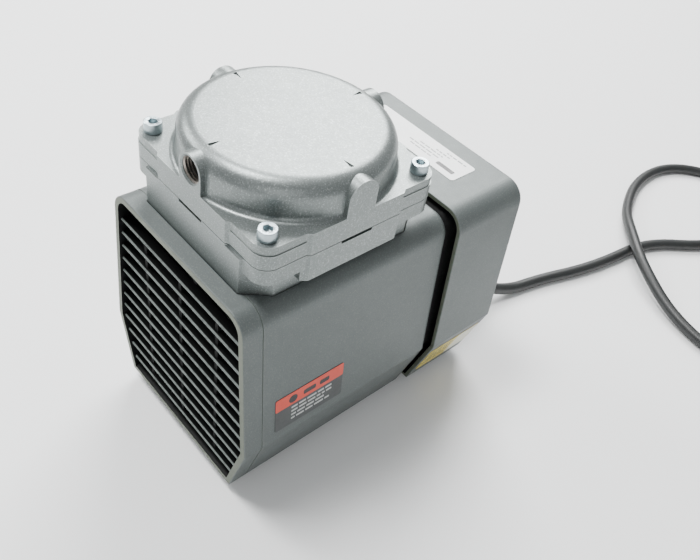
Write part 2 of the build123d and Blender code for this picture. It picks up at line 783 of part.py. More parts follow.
# ---------------------------------------------------------------- rotating group
shaft_front_y = -76.0
shaft_rear_y = 83.0
web_thickness = 7.0
web_radius = 15.0
counterweight_radius = 27.0
counterweight_thickness = 8.0
journal_front_y = rod_bearing_y
web_front_y = head_y + rod_bearing_width / 2

with BuildPart() as rotor_shaft:
    with BuildSketch(cross_plane(shaft_front_y)):
        with Locations((0, axis_z)):
            Circle(shaft_radius)
    extrude(amount=-(shaft_rear_y - shaft_front_y))
    chamfer(rotor_shaft.edges().filter_by(GeomType.CIRCLE), 0.6)

with BuildPart() as eccentric:
    with BuildSketch(cross_plane(journal_front_y)):
        with Locations((0, rod_axis_z)):
            Circle(rod_bearing_bore)
    extrude(amount=-rod_bearing_width)
    with BuildSketch(cross_plane(web_front_y)):
        with Locations((0, axis_z)):
            Circle(web_radius)
    extrude(amount=-web_thickness)
    with BuildSketch(cross_plane(journal_front_y)):
        with Locations((0, rod_axis_z)):
            Circle(rod_race_outer - 0.7)
    extrude(amount=2.0)
    with BuildSketch(cross_plane(journal_front_y - 2)):
        with Locations((0, axis_z)):
            Circle(shaft_radius)
    extrude(amount=-(rod_bearing_width + web_thickness + 4), mode=Mode.SUBTRACT)
    set_screw_y = web_front_y + web_thickness / 2
    with BuildSketch(Plane.XY.offset(axis_z + shaft_radius - 1)):
        with Locations((0, set_screw_y)):
            Circle(2.0)
    extrude(amount=web_radius, mode=Mode.SUBTRACT)

counterweight_front_y = journal_front_y - 2 - counterweight_thickness
with BuildPart() as counterweight:
    with BuildSketch(cross_plane(counterweight_front_y)):
        with Locations((0, axis_z)):
            Circle(counterweight_radius - 3)
            with Locations((0, -counterweight_radius / 2 - 3)):
                Rectangle(3 * counterweight_radius, counterweight_radius, mode=Mode.SUBTRACT)
            Circle(9)
            Circle(shaft_radius, mode=Mode.SUBTRACT)
    extrude(amount=-counterweight_thickness)

with BuildPart() as eccentric_set_screw:
    with BuildSketch(Plane.XY.offset(axis_z + shaft_radius)):
        with Locations((0, set_screw_y)):
            Circle(2.0)
    extrude(amount=8)
    with BuildSketch(Plane.XY.offset(axis_z + shaft_radius + 8)):
        with Locations((0, set_screw_y)):
            RegularPolygon(1.1, 6)
    extrude(amount=-2.5, mode=Mode.SUBTRACT)

with BuildPart() as rotor_core:
    with BuildSketch(cross_plane(stator_front_y)):
        with Locations((0, axis_z)):
            Circle(rotor_radius)
            Circle(shaft_radius, mode=Mode.SUBTRACT)
    extrude(amount=-stator_stack)

end_ring_length = 5.0
with BuildPart() as rotor_end_rings:
    for ring_y in (stator_front_y - end_ring_length, stator_front_y + stator_stack):
        with BuildSketch(cross_plane(ring_y)):
            with Locations((0, axis_z)):
                Circle(rotor_radius - 0.6)
                Circle(13.5, mode=Mode.SUBTRACT)
        extrude(amount=-end_ring_length)

# ---------------------------------------------------------------- stator and motor frame
tooth_count = 24
slot_width = 2.6
slot_outer_radius = 33.0
stator_bore = rotor_radius + air_gap
slot_inner_radius = stator_bore - 1.0
winding_length = 8.0

with BuildPart() as stator_core:
    with BuildSketch(cross_plane(stator_front_y)):
        with Locations((0, axis_z)):
            RectangleRounded(2 * stator_half, 2 * stator_half, 5)
            Circle(stator_bore, mode=Mode.SUBTRACT)
            with PolarLocations((slot_inner_radius + slot_outer_radius) / 2, tooth_count):
                Rectangle(slot_outer_radius - slot_inner_radius, slot_width, mode=Mode.SUBTRACT)
            with GridLocations(2 * bolt_half_spacing, 2 * bolt_half_spacing, 2, 2):
                Circle(2.2, mode=Mode.SUBTRACT)
    extrude(amount=-stator_stack)

with BuildPart() as stator_windings:
    for ring_y in (stator_front_y - winding_length, stator_front_y + stator_stack):
        with BuildSketch(cross_plane(ring_y)):
            with Locations((0, axis_z)):
                Circle(slot_outer_radius + 1)
                Circle(stator_bore + 1.5, mode=Mode.SUBTRACT)
        extrude(amount=-winding_length)
    fillet(stator_windings.edges().group_by(Axis.Y)[0], 3)
    fillet(stator_windings.edges().group_by(Axis.Y)[-1], 3)
    with BuildSketch(cross_plane(stator_front_y)):
        with Locations((0, axis_z)):
            with PolarLocations((stator_bore + 1.5 + slot_outer_radius) / 2, tooth_count):
                Rectangle(slot_outer_radius - stator_bore - 2, slot_width - 0.4)
    extrude(amount=-stator_stack)

bracket_thickness = bearing_width
bracket_leg_front_y = stator_front_y + stator_stack
bolt_rear_y = rear_bearing_y + bracket_thickness
with BuildPart() as rear_bracket:
    for arm_angle in (45, -45):
        with BuildSketch(cross_plane(rear_bearing_y)):
            with Locations((0, axis_z)):
                Rectangle(2 * math.sqrt(2) * bolt_half_spacing, 9, rotation=arm_angle)
        extrude(amount=-bracket_thickness)
    with BuildSketch(cross_plane(rear_bearing_y)):
        with Locations((0, axis_z)):
            Circle(bearing_outer_radius + 4)
    extrude(amount=-bracket_thickness)
    with BuildSketch(cross_plane(rear_bearing_y - 1)):
        with Locations((0, axis_z)):
            Circle(bearing_outer_radius)
    extrude(amount=-(bracket_thickness + 2), mode=Mode.SUBTRACT)
    with BuildSketch(cross_plane(bracket_leg_front_y)):
        with Locations((0, axis_z)):
            with GridLocations(2 * bolt_half_spacing, 2 * bolt_half_spacing, 2, 2):
                Circle(6)
    extrude(amount=-(rear_bearing_y + bracket_thickness - bracket_leg_front_y))
    rear_leg_foot_z = foot_height + cover_wall
    with BuildSketch(Plane.XY.offset(rear_leg_foot_z)):
        with Locations((-foot_x, rear_foot_y), (foot_x, rear_foot_y)):
            Rectangle(12, bracket_thickness)
    extrude(amount=axis_z - bolt_half_spacing - rear_leg_foot_z)
    with BuildSketch(cross_plane(bracket_leg_front_y - 1)):
        with Locations((0, axis_z)):
            with GridLocations(2 * bolt_half_spacing, 2 * bolt_half_spacing, 2, 2):
                Circle(2.2)
    extrude(amount=-(bolt_rear_y - bracket_leg_front_y + 2), mode=Mode.SUBTRACT)
    with BuildSketch(Plane.XY.offset(rear_leg_foot_z)):
        with Locations((-foot_x, rear_foot_y), (foot_x, rear_foot_y)):
            Circle(foot_screw_radius)
    extrude(amount=14, mode=Mode.SUBTRACT)

with BuildPart() as motor_bolts:
    with BuildSketch(cross_plane(case_rear_y + 1)):
        with Locations((0, axis_z)):
            with GridLocations(2 * bolt_half_spacing, 2 * bolt_half_spacing, 2, 2):
                Circle(2.0)
    extrude(amount=-(bolt_rear_y - case_rear_y - 1))
    with BuildSketch(cross_plane(bolt_rear_y)):
        with Locations((0, axis_z)):
            with GridLocations(2 * bolt_half_spacing, 2 * bolt_half_spacing, 2, 2):
                RegularPolygon(4.0, 6)
    extrude(amount=-3.0)

# ---------------------------------------------------------------- cooling fans
blade_count = 7
blade_thickness = 1.4
blade_root_pitch = 38.0
blade_tip_pitch = 24.0
blade_root_overlap = 1.5


def fan(hub_y, hub_length, hub_radius, tip_radius, depth):
    """Axial fan with pitched flat blades around a bored hub."""
    with BuildPart() as wheel:
        with BuildSketch(cross_plane(hub_y)):
            with Locations((0, axis_z)):
                Circle(hub_radius)
        extrude(amount=-hub_length)
        root_chord = depth / math.cos(math.radians(blade_root_pitch)) - 2
        tip_chord = depth / math.cos(math.radians(blade_tip_pitch))
        for i in range(blade_count):
            angle = math.tau * i / blade_count
            blade_plane = Plane(
                origin=(0, hub_y + depth / 2, axis_z),
                x_dir=(0, 1, 0),
                z_dir=(math.cos(angle), 0, math.sin(angle)),
            )
            with BuildSketch(blade_plane.offset(hub_radius - blade_root_overlap)):
                Rectangle(root_chord, blade_thickness, rotation=blade_root_pitch)
            with BuildSketch(blade_plane.offset(tip_radius)):
                Rectangle(tip_chord, blade_thickness, rotation=blade_tip_pitch)
            loft()
        with BuildSketch(cross_plane(hub_y - 1)):
            with Locations((0, axis_z)):
                Circle(shaft_radius)
        extrude(amount=-(hub_length + 2), mode=Mode.SUBTRACT)
    return wheel.part


with BuildPart() as front_fan:
    add(fan(-75.0, 13.0, 13.0, 44.0, 12.0))
with BuildPart() as rear_fan:
    add(fan(73.0, 9.0, 12.0, 44.0, 8.0))

# ---------------------------------------------------------------- screws and feet
head_radius = 4.25
head_height = 5.0
head_hex_radius = 2.35
head_screw_reach = 20.0
with BuildPart() as head_screws:
    with BuildSketch(Plane.XY.offset(head_flange_z)):
        with Locations(*head_corner_places()):
            Circle(head_radius)
    extrude(amount=head_height)
    chamfer(head_screws.edges().group_by(Axis.Z)[-1], 0.5)
    with BuildSketch(Plane.XY.offset(head_flange_z)):
        with Locations(*head_corner_places()):
            Circle(2.5)
    extrude(amount=-head_screw_reach)
    with BuildSketch(Plane.XY.offset(head_flange_z + head_height)):
        with Locations(*head_corner_places()):
            RegularPolygon(head_hex_radius, 6)
    extrude(amount=-2.6, mode=Mode.SUBTRACT)

foot_places = [
    (x * foot_x, y) for x in (-1, 1) for y in (front_foot_y, rear_foot_y)
]
foot_recess_radius = 5.5
foot_recess_depth = 3.4
with BuildPart() as rubber_feet:
    with BuildSketch(Plane.XY.offset(foot_height)):
        with Locations(*foot_places):
            Circle(foot_radius)
    extrude(amount=-foot_height, taper=6)
    with BuildSketch(Plane.XY):
        with Locations(*foot_places):
            Circle(foot_recess_radius)
    extrude(amount=foot_recess_depth, mode=Mode.SUBTRACT)
    with BuildSketch(Plane.XY):
        with Locations(*foot_places):
            Circle(foot_screw_radius)
    extrude(amount=foot_height, mode=Mode.SUBTRACT)

with BuildPart() as foot_screws:
    with BuildSketch(Plane.XY.offset(foot_recess_depth)):
        with Locations(*foot_places):
            Circle(4.6)
    extrude(amount=-2.4)
    with BuildSketch(Plane.XY.offset(foot_recess_depth)):
        with Locations(*foot_places):
            Circle(foot_screw_radius)
    extrude(amount=16)

# ---------------------------------------------------------------- labels
label_thickness = 0.25


def side_face_plane(halves, levels, y, z):
    """Plane lying on the right-hand slope of a housing piece, local Y pointing up the slope."""
    slope = (halves[1] - halves[2]) / (levels[2] - levels[1])
    x = halves[1] - slope * (z - levels[1])
    up = Vector(-slope, 0, 1).normalized()
    outward = Vector(1, 0, slope).normalized()
    return Plane(origin=(x, y, z), x_dir=up.cross(outward), z_dir=outward)


with BuildPart() as side_label:
    with BuildSketch(side_face_plane(shroud_halves, shroud_levels, -49.2, 62.0)):
        RectangleRounded(42.5, 23.0, 1.0)
    extrude(amount=label_thickness)

with BuildPart() as nameplate:
    with BuildSketch(Plane.XY.offset(cover_levels[2])):
        with Locations((-3.5, 65.8)):
            RectangleRounded(72.0, 19.0, 1.8)
    extrude(amount=label_thickness)

chamfer_rise = cover_levels[1] - cover_levels[0]
chamfer_run = cover_halves[1] - cover_halves[0]
chamfer_up = Vector(chamfer_run, 0, chamfer_rise).normalized()
chamfer_out = Vector(chamfer_rise, 0, -chamfer_run).normalized()
with BuildPart() as cover_label:
    chamfer_middle = (
        cover_halves[0] + chamfer_run * 0.5,
        cover_front_y + 24.0,
        cover_levels[0] + chamfer_rise * 0.5,
    )
    with BuildSketch(Plane(chamfer_middle, x_dir=chamfer_up.cross(chamfer_out), z_dir=chamfer_out)):
        RectangleRounded(42.0, 24.0, 1.0)
    extrude(amount=label_thickness)

# ---------------------------------------------------------------- cord
relief_length = 17.0
relief_flange_radius = 9.0
relief_flange_thickness = 2.5
with BuildPart() as strain_relief:
    with BuildSketch(Plane.YZ.offset(cord_exit_x)):
        with BuildLine():
            Polyline(
                (rear_y - cover_wall - 3.0, cord_exit_z + cord_radius),
                (rear_y - cover_wall - 3.0, cord_exit_z + cord_hole_radius),
                (rear_y, cord_exit_z + cord_hole_radius),
                (rear_y, cord_exit_z + relief_flange_radius),
                (rear_y + relief_flange_thickness, cord_exit_z + relief_flange_radius),
                (rear_y + relief_flange_thickness, cord_exit_z + cord_hole_radius),
                (rear_y + relief_length, cord_exit_z + cord_radius + 1.2),
                (rear_y + relief_length, cord_exit_z + cord_radius),
                close=True,
            )
        make_face()
    revolve(axis=Axis((cord_exit_x, rear_y, cord_exit_z), (0, 1, 0)))

route_runs = [Vector(*b) - Vector(*a) for a, b in zip(cord_route, cord_route[1:])]
bend_radii = []
for first_run, second_run in zip(route_runs, route_runs[1:]):
    half_turn = math.radians(first_run.get_angle(second_run)) / 2
    bend_radii.append(0.45 * min(first_run.length, second_run.length) / math.tan(half_turn))
print("cord bend radii", [round(radius, 1) for radius in bend_radii])

coil_half_width = cord_diameter + 0.2
coil_height = 2 * cord_diameter + 0.2
coil_outer_radius = coil_middle_radius + coil_half_width
coil_base_z = 0.1


def rounded_cord_path():
    """Straight runs of the cord joined by the largest tangent arcs that fit."""
    start = Vector(*cord_route[0])
    with BuildLine() as path:
        for place, corner in enumerate(cord_route[1:-1]):
            corner_point = Vector(*corner)
            first_run = route_runs[place]
            second_run = route_runs[place + 1]
            reach = 0.45 * min(first_run.length, second_run.length)
            arc_start = corner_point - first_run.normalized() * reach
            arc_end = corner_point + second_run.normalized() * reach
            Line(start, arc_start)
            TangentArc(arc_start, arc_end, tangent=first_run.normalized())
            start = arc_end
        Line(start, Vector(*cord_route[-1]))
    return path.wires()[0]


with BuildPart() as power_cord:
    cord_path = rounded_cord_path()
    with BuildSketch(Plane(cord_path @ 0, x_dir=(1, 0, 0), z_dir=cord_path % 0)):
        Circle(cord_radius)
    sweep(path=cord_path)
    straight_volume = math.pi * cord_radius**2 * cord_path.length
    print("cord tube volume", round(power_cord.part.volume), "of", round(straight_volume))
    print("cord tube length", round(cord_path.length, 1))
    with BuildSketch(Plane.XY):
        with Locations(coil_centre):
            Circle(coil_outer_radius)
    extrude(amount=coil_height + 2, mode=Mode.SUBTRACT)

with BuildPart() as cord_coil:
    with BuildSketch(Plane.XY.offset(coil_base_z)):
        with Locations(coil_centre):
            Circle(coil_outer_radius)
            Circle(coil_middle_radius - coil_half_width, mode=Mode.SUBTRACT)
    extrude(amount=coil_height)
    fillet(cord_coil.edges(), cord_radius - 0.3)

# The tail leaves the top layer of the coil towards -X and ends in a plug that lies beside the coil
tail_z = coil_base_z + 1.5 * cord_diameter
tail_y = coil_centre[1] + coil_middle_radius + cord_radius
tail_end_x = coil_centre[0] - 30.0 - coil_tail_length
plug_length = 42.0
plug_radius = 11.8
pin_length = 16.0

with BuildPart() as cord_tail:
    with BuildSketch(Plane.YZ.offset(coil_centre[0])):
        with Locations((tail_y, tail_z)):
            Circle(cord_radius)
    extrude(amount=tail_end_x - coil_centre[0])
    with BuildSketch(Plane.XY):
        with Locations(coil_centre):
            Circle(coil_outer_radius)
    extrude(amount=coil_height + 2, mode=Mode.SUBTRACT)

with BuildPart() as plug_body:
    with BuildSketch(Plane.XY.offset(tail_z)):
        with BuildLine():
            Polyline(
                (tail_end_x, tail_y),
                (tail_end_x, tail_y + cord_radius + 1.2),
                (tail_end_x - 14, tail_y + cord_radius + 3.2),
                (tail_end_x - 19, tail_y + plug_radius),
                (tail_end_x - plug_length, tail_y + plug_radius),
                (tail_end_x - plug_length, tail_y),
                close=True,
            )
        make_face()
    revolve(axis=Axis((0, tail_y, tail_z), (1, 0, 0)))
    fillet(plug_body.edges().group_by(Axis.X)[0], 1.5)

with BuildPart() as plug_pins:
    pin_root_x = tail_end_x - plug_length
    with BuildSketch(Plane.YZ.offset(pin_root_x)):
        with Locations((tail_y - 6.3, tail_z + 2), (tail_y + 6.3, tail_z + 2)):
            Rectangle(1.5, 6.3)
        with Locations((tail_y, tail_z - 7)):
            Circle(2.4)
    extrude(amount=-pin_length)

# ---------------------------------------------------------------- write the pieces
pieces = {
    "front_shroud": front_shroud,
    "front_grille": front_grille,
    "grille_frame": grille_frame,
    "rear_cover": rear_cover,
    "air_baffle": air_baffle,
    "crankcase": crankcase,
    "head_cover": head_cover,
    "valve_plate": valve_plate,
    "valve_gasket": valve_gasket,
    "valve_leaf_roots": valve_leaf_roots,
    "intake_flap": intake_flap,
    "exhaust_flap": exhaust_flap,
    "valve_screws": valve_screws,
    "diaphragm": diaphragm,
    "connecting_rod": connecting_rod,
    "lower_clamp_disc": lower_clamp_disc,
    "upper_clamp_disc": upper_clamp_disc,
    "clamp_screw": clamp_screw,
    "bearing_outer_rings": bearing_outer_rings,
    "bearing_balls": bearing_balls,
    "bearing_inner_rings": bearing_inner_rings,
    "rod_bearing_outer_ring": rod_bearing_outer_ring,
    "rod_bearing_balls": rod_bearing_balls,
    "rod_bearing_inner_ring": rod_bearing_inner_ring,
    "rotor_shaft": rotor_shaft,
    "eccentric": eccentric,
    "counterweight": counterweight,
    "eccentric_set_screw": eccentric_set_screw,
    "rotor_core": rotor_core,
    "rotor_end_rings": rotor_end_rings,
    "stator_core": stator_core,
    "stator_windings": stator_windings,
    "rear_bracket": rear_bracket,
    "motor_bolts": motor_bolts,
    "front_fan": front_fan,
    "rear_fan": rear_fan,
    "head_screws": head_screws,
    "rubber_feet": rubber_feet,
    "foot_screws": foot_screws,
    "side_label": side_label,
    "nameplate": nameplate,
    "cover_label": cover_label,
    "strain_relief": strain_relief,
    "power_cord": power_cord,
    "cord_coil": cord_coil,
    "cord_tail": cord_tail,
    "plug_body": plug_body,
    "plug_pins": plug_pins,
}
for name, piece in pieces.items():
    piece.part.label = name
    export_step(piece.part, f"parts/{name}.step")
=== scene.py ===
"""Diaphragm vacuum pump: finishes, printed labels, screws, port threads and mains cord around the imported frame.

Lengths are in metres unless a name ends in _mm. The frame is the part's own: +X right, +Y towards the cord
end along the motor shaft, +Z up, with the floor at zero.
"""

from __future__ import annotations

import json
import logging
import math
import random
from dataclasses import dataclass, field, replace
from enum import Enum
from typing import Callable, Iterable, Sequence, Union

import bmesh
import bpy
from mathutils import Matrix, Vector

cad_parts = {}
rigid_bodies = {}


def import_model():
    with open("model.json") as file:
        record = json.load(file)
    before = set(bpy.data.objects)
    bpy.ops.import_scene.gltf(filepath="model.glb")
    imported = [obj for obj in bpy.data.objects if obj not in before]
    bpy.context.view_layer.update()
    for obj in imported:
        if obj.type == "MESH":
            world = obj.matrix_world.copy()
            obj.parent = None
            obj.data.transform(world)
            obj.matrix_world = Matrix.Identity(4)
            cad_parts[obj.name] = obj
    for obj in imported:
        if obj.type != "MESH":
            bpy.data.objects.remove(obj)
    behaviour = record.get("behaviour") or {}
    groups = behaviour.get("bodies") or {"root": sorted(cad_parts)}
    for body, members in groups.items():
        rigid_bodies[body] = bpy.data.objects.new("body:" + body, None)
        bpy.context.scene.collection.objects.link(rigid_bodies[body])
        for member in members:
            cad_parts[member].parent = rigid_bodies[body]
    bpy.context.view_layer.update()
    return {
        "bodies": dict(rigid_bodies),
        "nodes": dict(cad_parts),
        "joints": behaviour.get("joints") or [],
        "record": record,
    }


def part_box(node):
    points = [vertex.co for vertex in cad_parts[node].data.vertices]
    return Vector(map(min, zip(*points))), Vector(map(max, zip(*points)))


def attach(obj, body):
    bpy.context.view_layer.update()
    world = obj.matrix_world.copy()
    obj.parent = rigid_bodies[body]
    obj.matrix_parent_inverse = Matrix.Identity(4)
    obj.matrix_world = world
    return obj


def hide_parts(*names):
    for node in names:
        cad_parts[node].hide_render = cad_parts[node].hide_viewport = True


log = logging.getLogger("vacuum_pump")

MM = 0.001
MOTOR_AXIS_Z = 0.070
HOUSING_FRONT_MM = -88.5
GRILLE_SETBACK_MM = 1.2
# Near-black painted shade for the dark inside the shroud and the housing.
PAINTED_SHADE_BLACK = "#0c0d0d"
RIM_FACING = (-0.80, -0.97)
INWARD_FACING = (-0.002, -0.006)
PAINTED_SHADE_FADE = 0.002
FILM_FADE_MM = 0.3

Profile = Sequence[tuple[float, float]]
SocketValue = Union[float, Sequence[float], bpy.types.NodeSocket]


# ------------------------------------------------------------------------------ colour and shader helpers
def linear(hex_colour: str) -> tuple[float, float, float, float]:
    """Turn an sRGB hex colour into linear light.

    Args:
        hex_colour: Six hex digits with a leading #.

    Returns:
        Linear red, green, blue and an alpha of one.
    """
    channels = [int(hex_colour[i : i + 2], 16) / 255 for i in (1, 3, 5)]
    red, green, blue = (c / 12.92 if c <= 0.04045 else ((c + 0.055) / 1.055) ** 2.4 for c in channels)
    return red, green, blue, 1.0


def add_node(
    tree: bpy.types.NodeTree,
    kind: str,
    inputs: dict[str | int, SocketValue] | None = None,
    **settings: object,
) -> bpy.types.Node:
    """Add one node with its settings, values and links.

    Args:
        tree: Shader tree that the node joins.
        kind: Blender's name for the type of node.
        inputs: Socket name or number, to a value or to the socket that feeds it.
        **settings: Properties of the node itself.

    Returns:
        The new node.
    """
    node = tree.nodes.new(kind)
    for key, value in settings.items():
        setattr(node, key, value)
    for key, value in (inputs or {}).items():
        if isinstance(value, bpy.types.NodeSocket):
            tree.links.new(value, node.inputs[key])
        else:
            node.inputs[key].default_value = value
    return node


def per_metre(size_mm: float) -> float:
    """Scale of a pattern whose features are that many millimetres across."""
    return 1.0 / (size_mm * MM)


class Recipe:
    """A material being put together: its tree, its shader and the coordinates of the piece."""

    def __init__(self, name: str) -> None:
        """Start a material with an empty principled shader.

        Args:
            name: Name of the finish.
        """
        self.material = bpy.data.materials.new(name)
        self.material.use_nodes = True
        self.tree = self.material.node_tree
        self.tree.nodes.clear()
        self.shader = add_node(self.tree, "ShaderNodeBsdfPrincipled")
        add_node(self.tree, "ShaderNodeOutputMaterial", {"Surface": self.shader.outputs["BSDF"]})
        self.place = add_node(self.tree, "ShaderNodeTexCoord").outputs["Object"]

    def noise(self, size_mm: float, detail: float = 2.0, roughness: float = 0.5) -> bpy.types.NodeSocket:
        """Soft mottling, as a factor.

        Args:
            size_mm: Distance between spots.
            detail: Octaves of finer noise.
            roughness: Share of the finer noise.

        Returns:
            The factor socket, centred on one half.
        """
        values = {"Vector": self.place, "Scale": per_metre(size_mm), "Detail": detail, "Roughness": roughness}
        return add_node(self.tree, "ShaderNodeTexNoise", values).outputs["Fac"]

    def spread(
        self, source: bpy.types.NodeSocket, low: float, high: float, to_low: float = 0.0, to_high: float = 1.0
    ) -> bpy.types.NodeSocket:
        """Stretch a factor between two levels and clamp it.

        Args:
            source: Factor that is stretched.
            low: Level that becomes to_low.
            high: Level that becomes to_high.
            to_low: Result at the low level.
            to_high: Result at the high level.

        Returns:
            The stretched factor.
        """
        values = {"Value": source, "From Min": low, "From Max": high, "To Min": to_low, "To Max": to_high}
        return add_node(self.tree, "ShaderNodeMapRange", values).outputs["Result"]

    def mix(
        self, factor: bpy.types.NodeSocket, first: SocketValue, second: SocketValue
    ) -> bpy.types.NodeSocket:
        """Blend two colours.

        Args:
            factor: Share of the second colour.
            first: Colour where the factor is zero.
            second: Colour where the factor is one.

        Returns:
            The blended colour.
        """
        node = add_node(self.tree, "ShaderNodeMix", {0: factor, 6: first, 7: second}, data_type="RGBA")
        return node.outputs[2]

    def relief(
        self, height: bpy.types.NodeSocket, depth_mm: float, under: bpy.types.NodeSocket | None = None
    ) -> bpy.types.NodeSocket:
        """Fine relief that bends the light without changing the mesh.

        Args:
            height: Height as a factor.
            depth_mm: Depth of the relief at full height.
            under: Relief that this one lies on.

        Returns:
            The normal socket.
        """
        values: dict[str | int, SocketValue] = {"Height": height, "Distance": depth_mm * MM, "Strength": 1.0}
        if under is not None:
            values["Normal"] = under
        return add_node(self.tree, "ShaderNodeBump", values).outputs["Normal"]

    def edges(self, width_mm: float) -> bpy.types.NodeSocket:
        """Mask of the sharp edges, one on an edge and zero away from it.

        Args:
            width_mm: Width of the worn or rounded strip.

        Returns:
            The mask as a factor.
        """
        rounded = add_node(self.tree, "ShaderNodeBevel", {"Radius": width_mm * MM}, samples=4)
        flat = add_node(self.tree, "ShaderNodeNewGeometry").outputs["Normal"]
        pair = {0: rounded.outputs["Normal"], 1: flat}
        likeness = add_node(self.tree, "ShaderNodeVectorMath", pair, operation="DOT_PRODUCT").outputs["Value"]
        return self.spread(likeness, 0.995, 0.90)

    def set(self, **values: SocketValue) -> None:
        """Set or feed the shader's sockets, with _ for the spaces in their names."""
        for name, value in values.items():
            socket = self.shader.inputs[name.replace("_", " ")]
            if isinstance(value, bpy.types.NodeSocket):
                self.tree.links.new(value, socket)
            else:
                socket.default_value = value


# ------------------------------------------------------------------------------ finishes
@dataclass(frozen=True)
class SilverPaint:
    """Sprayed aluminium-flake enamel on metal: satin, with a fine bright and dark speckle of flakes.

    The flakes are drawn flake_mm across, coarser than real ones, so that they show. Three colours are optional:
    raw_edge shows on faces that look straight forwards, inside is painted shade on faces that look towards the
    motor axis, and everything lower than a given height is painted the same near-black shade.
    """

    name: str
    colour: str
    shade: str
    flake: str
    flake_mm: float
    flake_share: float
    peel_mm: float
    peel_depth_mm: float
    metallic: float
    roughness: float
    # Paler colour on the sharp edges: partly thin worn paint, partly a painted highlight.
    edge: str
    edge_wear_and_highlight_mm: float
    raw_edge: str | None = None
    inside: str | None = None
    painted_shade_below_mm: float | None = None

    def make(self) -> bpy.types.Material:
        """Build the paint: cloudy colour, flakes, orange peel, paler edges that are partly thin paint and partly a
        painted edge highlight.
        """
        recipe = Recipe(self.name)
        cloud = recipe.spread(recipe.noise(30.0, 2.0), 0.30, 0.70, 0.65, 1.0)
        colour = recipe.mix(cloud, linear(self.shade), linear(self.colour))
        grain = recipe.noise(self.flake_mm, 1.0, 0.6)
        dark_grain = recipe.spread(grain, 0.46, 0.30, 0.0, self.flake_share)
        light_grain = recipe.spread(grain, 0.56, 0.74, 0.0, self.flake_share)
        colour = recipe.mix(dark_grain, colour, linear(self.shade))
        colour = recipe.mix(light_grain, colour, linear(self.flake))
        # Paler edges: partly thin worn paint, partly a painted edge highlight.
        colour = recipe.mix(recipe.edges(self.edge_wear_and_highlight_mm), colour, linear(self.edge))
        normal = add_node(recipe.tree, "ShaderNodeTexCoord").outputs["Normal"]
        if self.raw_edge is not None:
            along = add_node(recipe.tree, "ShaderNodeSeparateXYZ", {"Vector": normal}).outputs["Y"]
            colour = recipe.mix(recipe.spread(along, *RIM_FACING), colour, linear(self.raw_edge))
        # Painted shade: faces turned towards the motor axis go near black, for the dark inside the shroud.
        if self.inside is not None:
            outwards = add_node(
                recipe.tree, "ShaderNodeVectorMath", {0: recipe.place, 1: (0.0, 0.0, -MOTOR_AXIS_Z)}, operation="ADD"
            ).outputs["Vector"]
            pair = {0: outwards, 1: (1.0, 0.0, 1.0)}
            outwards = add_node(recipe.tree, "ShaderNodeVectorMath", pair, operation="MULTIPLY").outputs["Vector"]
            pair = {0: outwards, 1: normal}
            turned = add_node(recipe.tree, "ShaderNodeVectorMath", pair, operation="DOT_PRODUCT").outputs["Value"]
            colour = recipe.mix(recipe.spread(turned, *INWARD_FACING), colour, linear(self.inside))
        # Painted shade: everything below this height goes near black, for the dark inside the housing.
        if self.painted_shade_below_mm is not None:
            height = add_node(recipe.tree, "ShaderNodeSeparateXYZ", {"Vector": recipe.place}).outputs["Z"]
            level = self.painted_shade_below_mm * MM
            colour = recipe.mix(recipe.spread(height, level, level - PAINTED_SHADE_FADE), colour, linear(PAINTED_SHADE_BLACK))
        peel = recipe.relief(recipe.noise(self.peel_mm, 2.0), self.peel_depth_mm)
        fine = recipe.relief(grain, self.peel_depth_mm * 0.4, peel)
        sheen_change = recipe.spread(recipe.noise(4.0, 3.0), 0.3, 0.7, self.roughness - 0.02, self.roughness + 0.03)
        recipe.set(Base_Color=colour, Metallic=self.metallic, Roughness=sheen_change, Normal=fine)
        return recipe.material


@dataclass(frozen=True)
class EdgePaint:
    """Slats coloured black as painted shade between them, with the slats' grey paint only along their front edges."""

    name: str
    # Near black: painted shade between the slats.
    colour: str
    edge: str
    front_mm: float
    reach_mm: float

    def make(self) -> bpy.types.Material:
        """Build the finish: near-black painted shade, with the grey paint line along everything within reach of the
        front.
        """
        recipe = Recipe(self.name)
        along = add_node(recipe.tree, "ShaderNodeSeparateXYZ", {"Vector": recipe.place}).outputs["Y"]
        end = (self.front_mm + self.reach_mm) * MM
        film = recipe.spread(along, end, end - FILM_FADE_MM * MM)
        worn = recipe.spread(recipe.noise(2.5, 3.0), 0.25, 0.50, 0.55, 1.0)
        film = add_node(recipe.tree, "ShaderNodeMath", {0: film, 1: worn}, operation="MULTIPLY").outputs["Value"]
        # The black stands for the shade between the slats; the grey is the slats' paint on their front edges.
        colour = recipe.mix(film, linear(self.colour), linear(self.edge))
        normal = recipe.relief(recipe.noise(0.8), 0.02)
        recipe.set(Base_Color=colour, Roughness=0.75, Specular_IOR_Level=0.15, Normal=normal)
        return recipe.material


@dataclass(frozen=True)
class BareMetal:
    """Metal without paint: turned, ground, plated or as rolled, with fine scratches and a little staining."""

    name: str
    colour: str
    stain: str
    roughness: float
    grain_mm: float
    grain_depth_mm: float
    stretch: tuple[float, float, float] = (1.0, 1.0, 1.0)

    def make(self) -> bpy.types.Material:
        """Build the metal: stained colour, stretched machining grain, uneven gloss."""
        recipe = Recipe(self.name)
        stretched = add_node(recipe.tree, "ShaderNodeMapping", {"Vector": recipe.place, "Scale": self.stretch})
        recipe.place = stretched.outputs["Vector"]
        stain = recipe.spread(recipe.noise(5.0, 4.0), 0.45, 0.75)
        grain = recipe.noise(self.grain_mm, 3.0, 0.65)
        gloss = recipe.spread(grain, 0.3, 0.7, self.roughness - 0.06, self.roughness + 0.08)
        normal = recipe.relief(grain, self.grain_depth_mm)
        colour = recipe.mix(stain, linear(self.colour), linear(self.stain))
        recipe.set(Base_Color=colour, Metallic=1.0, Roughness=gloss, Normal=normal)
        return recipe.material


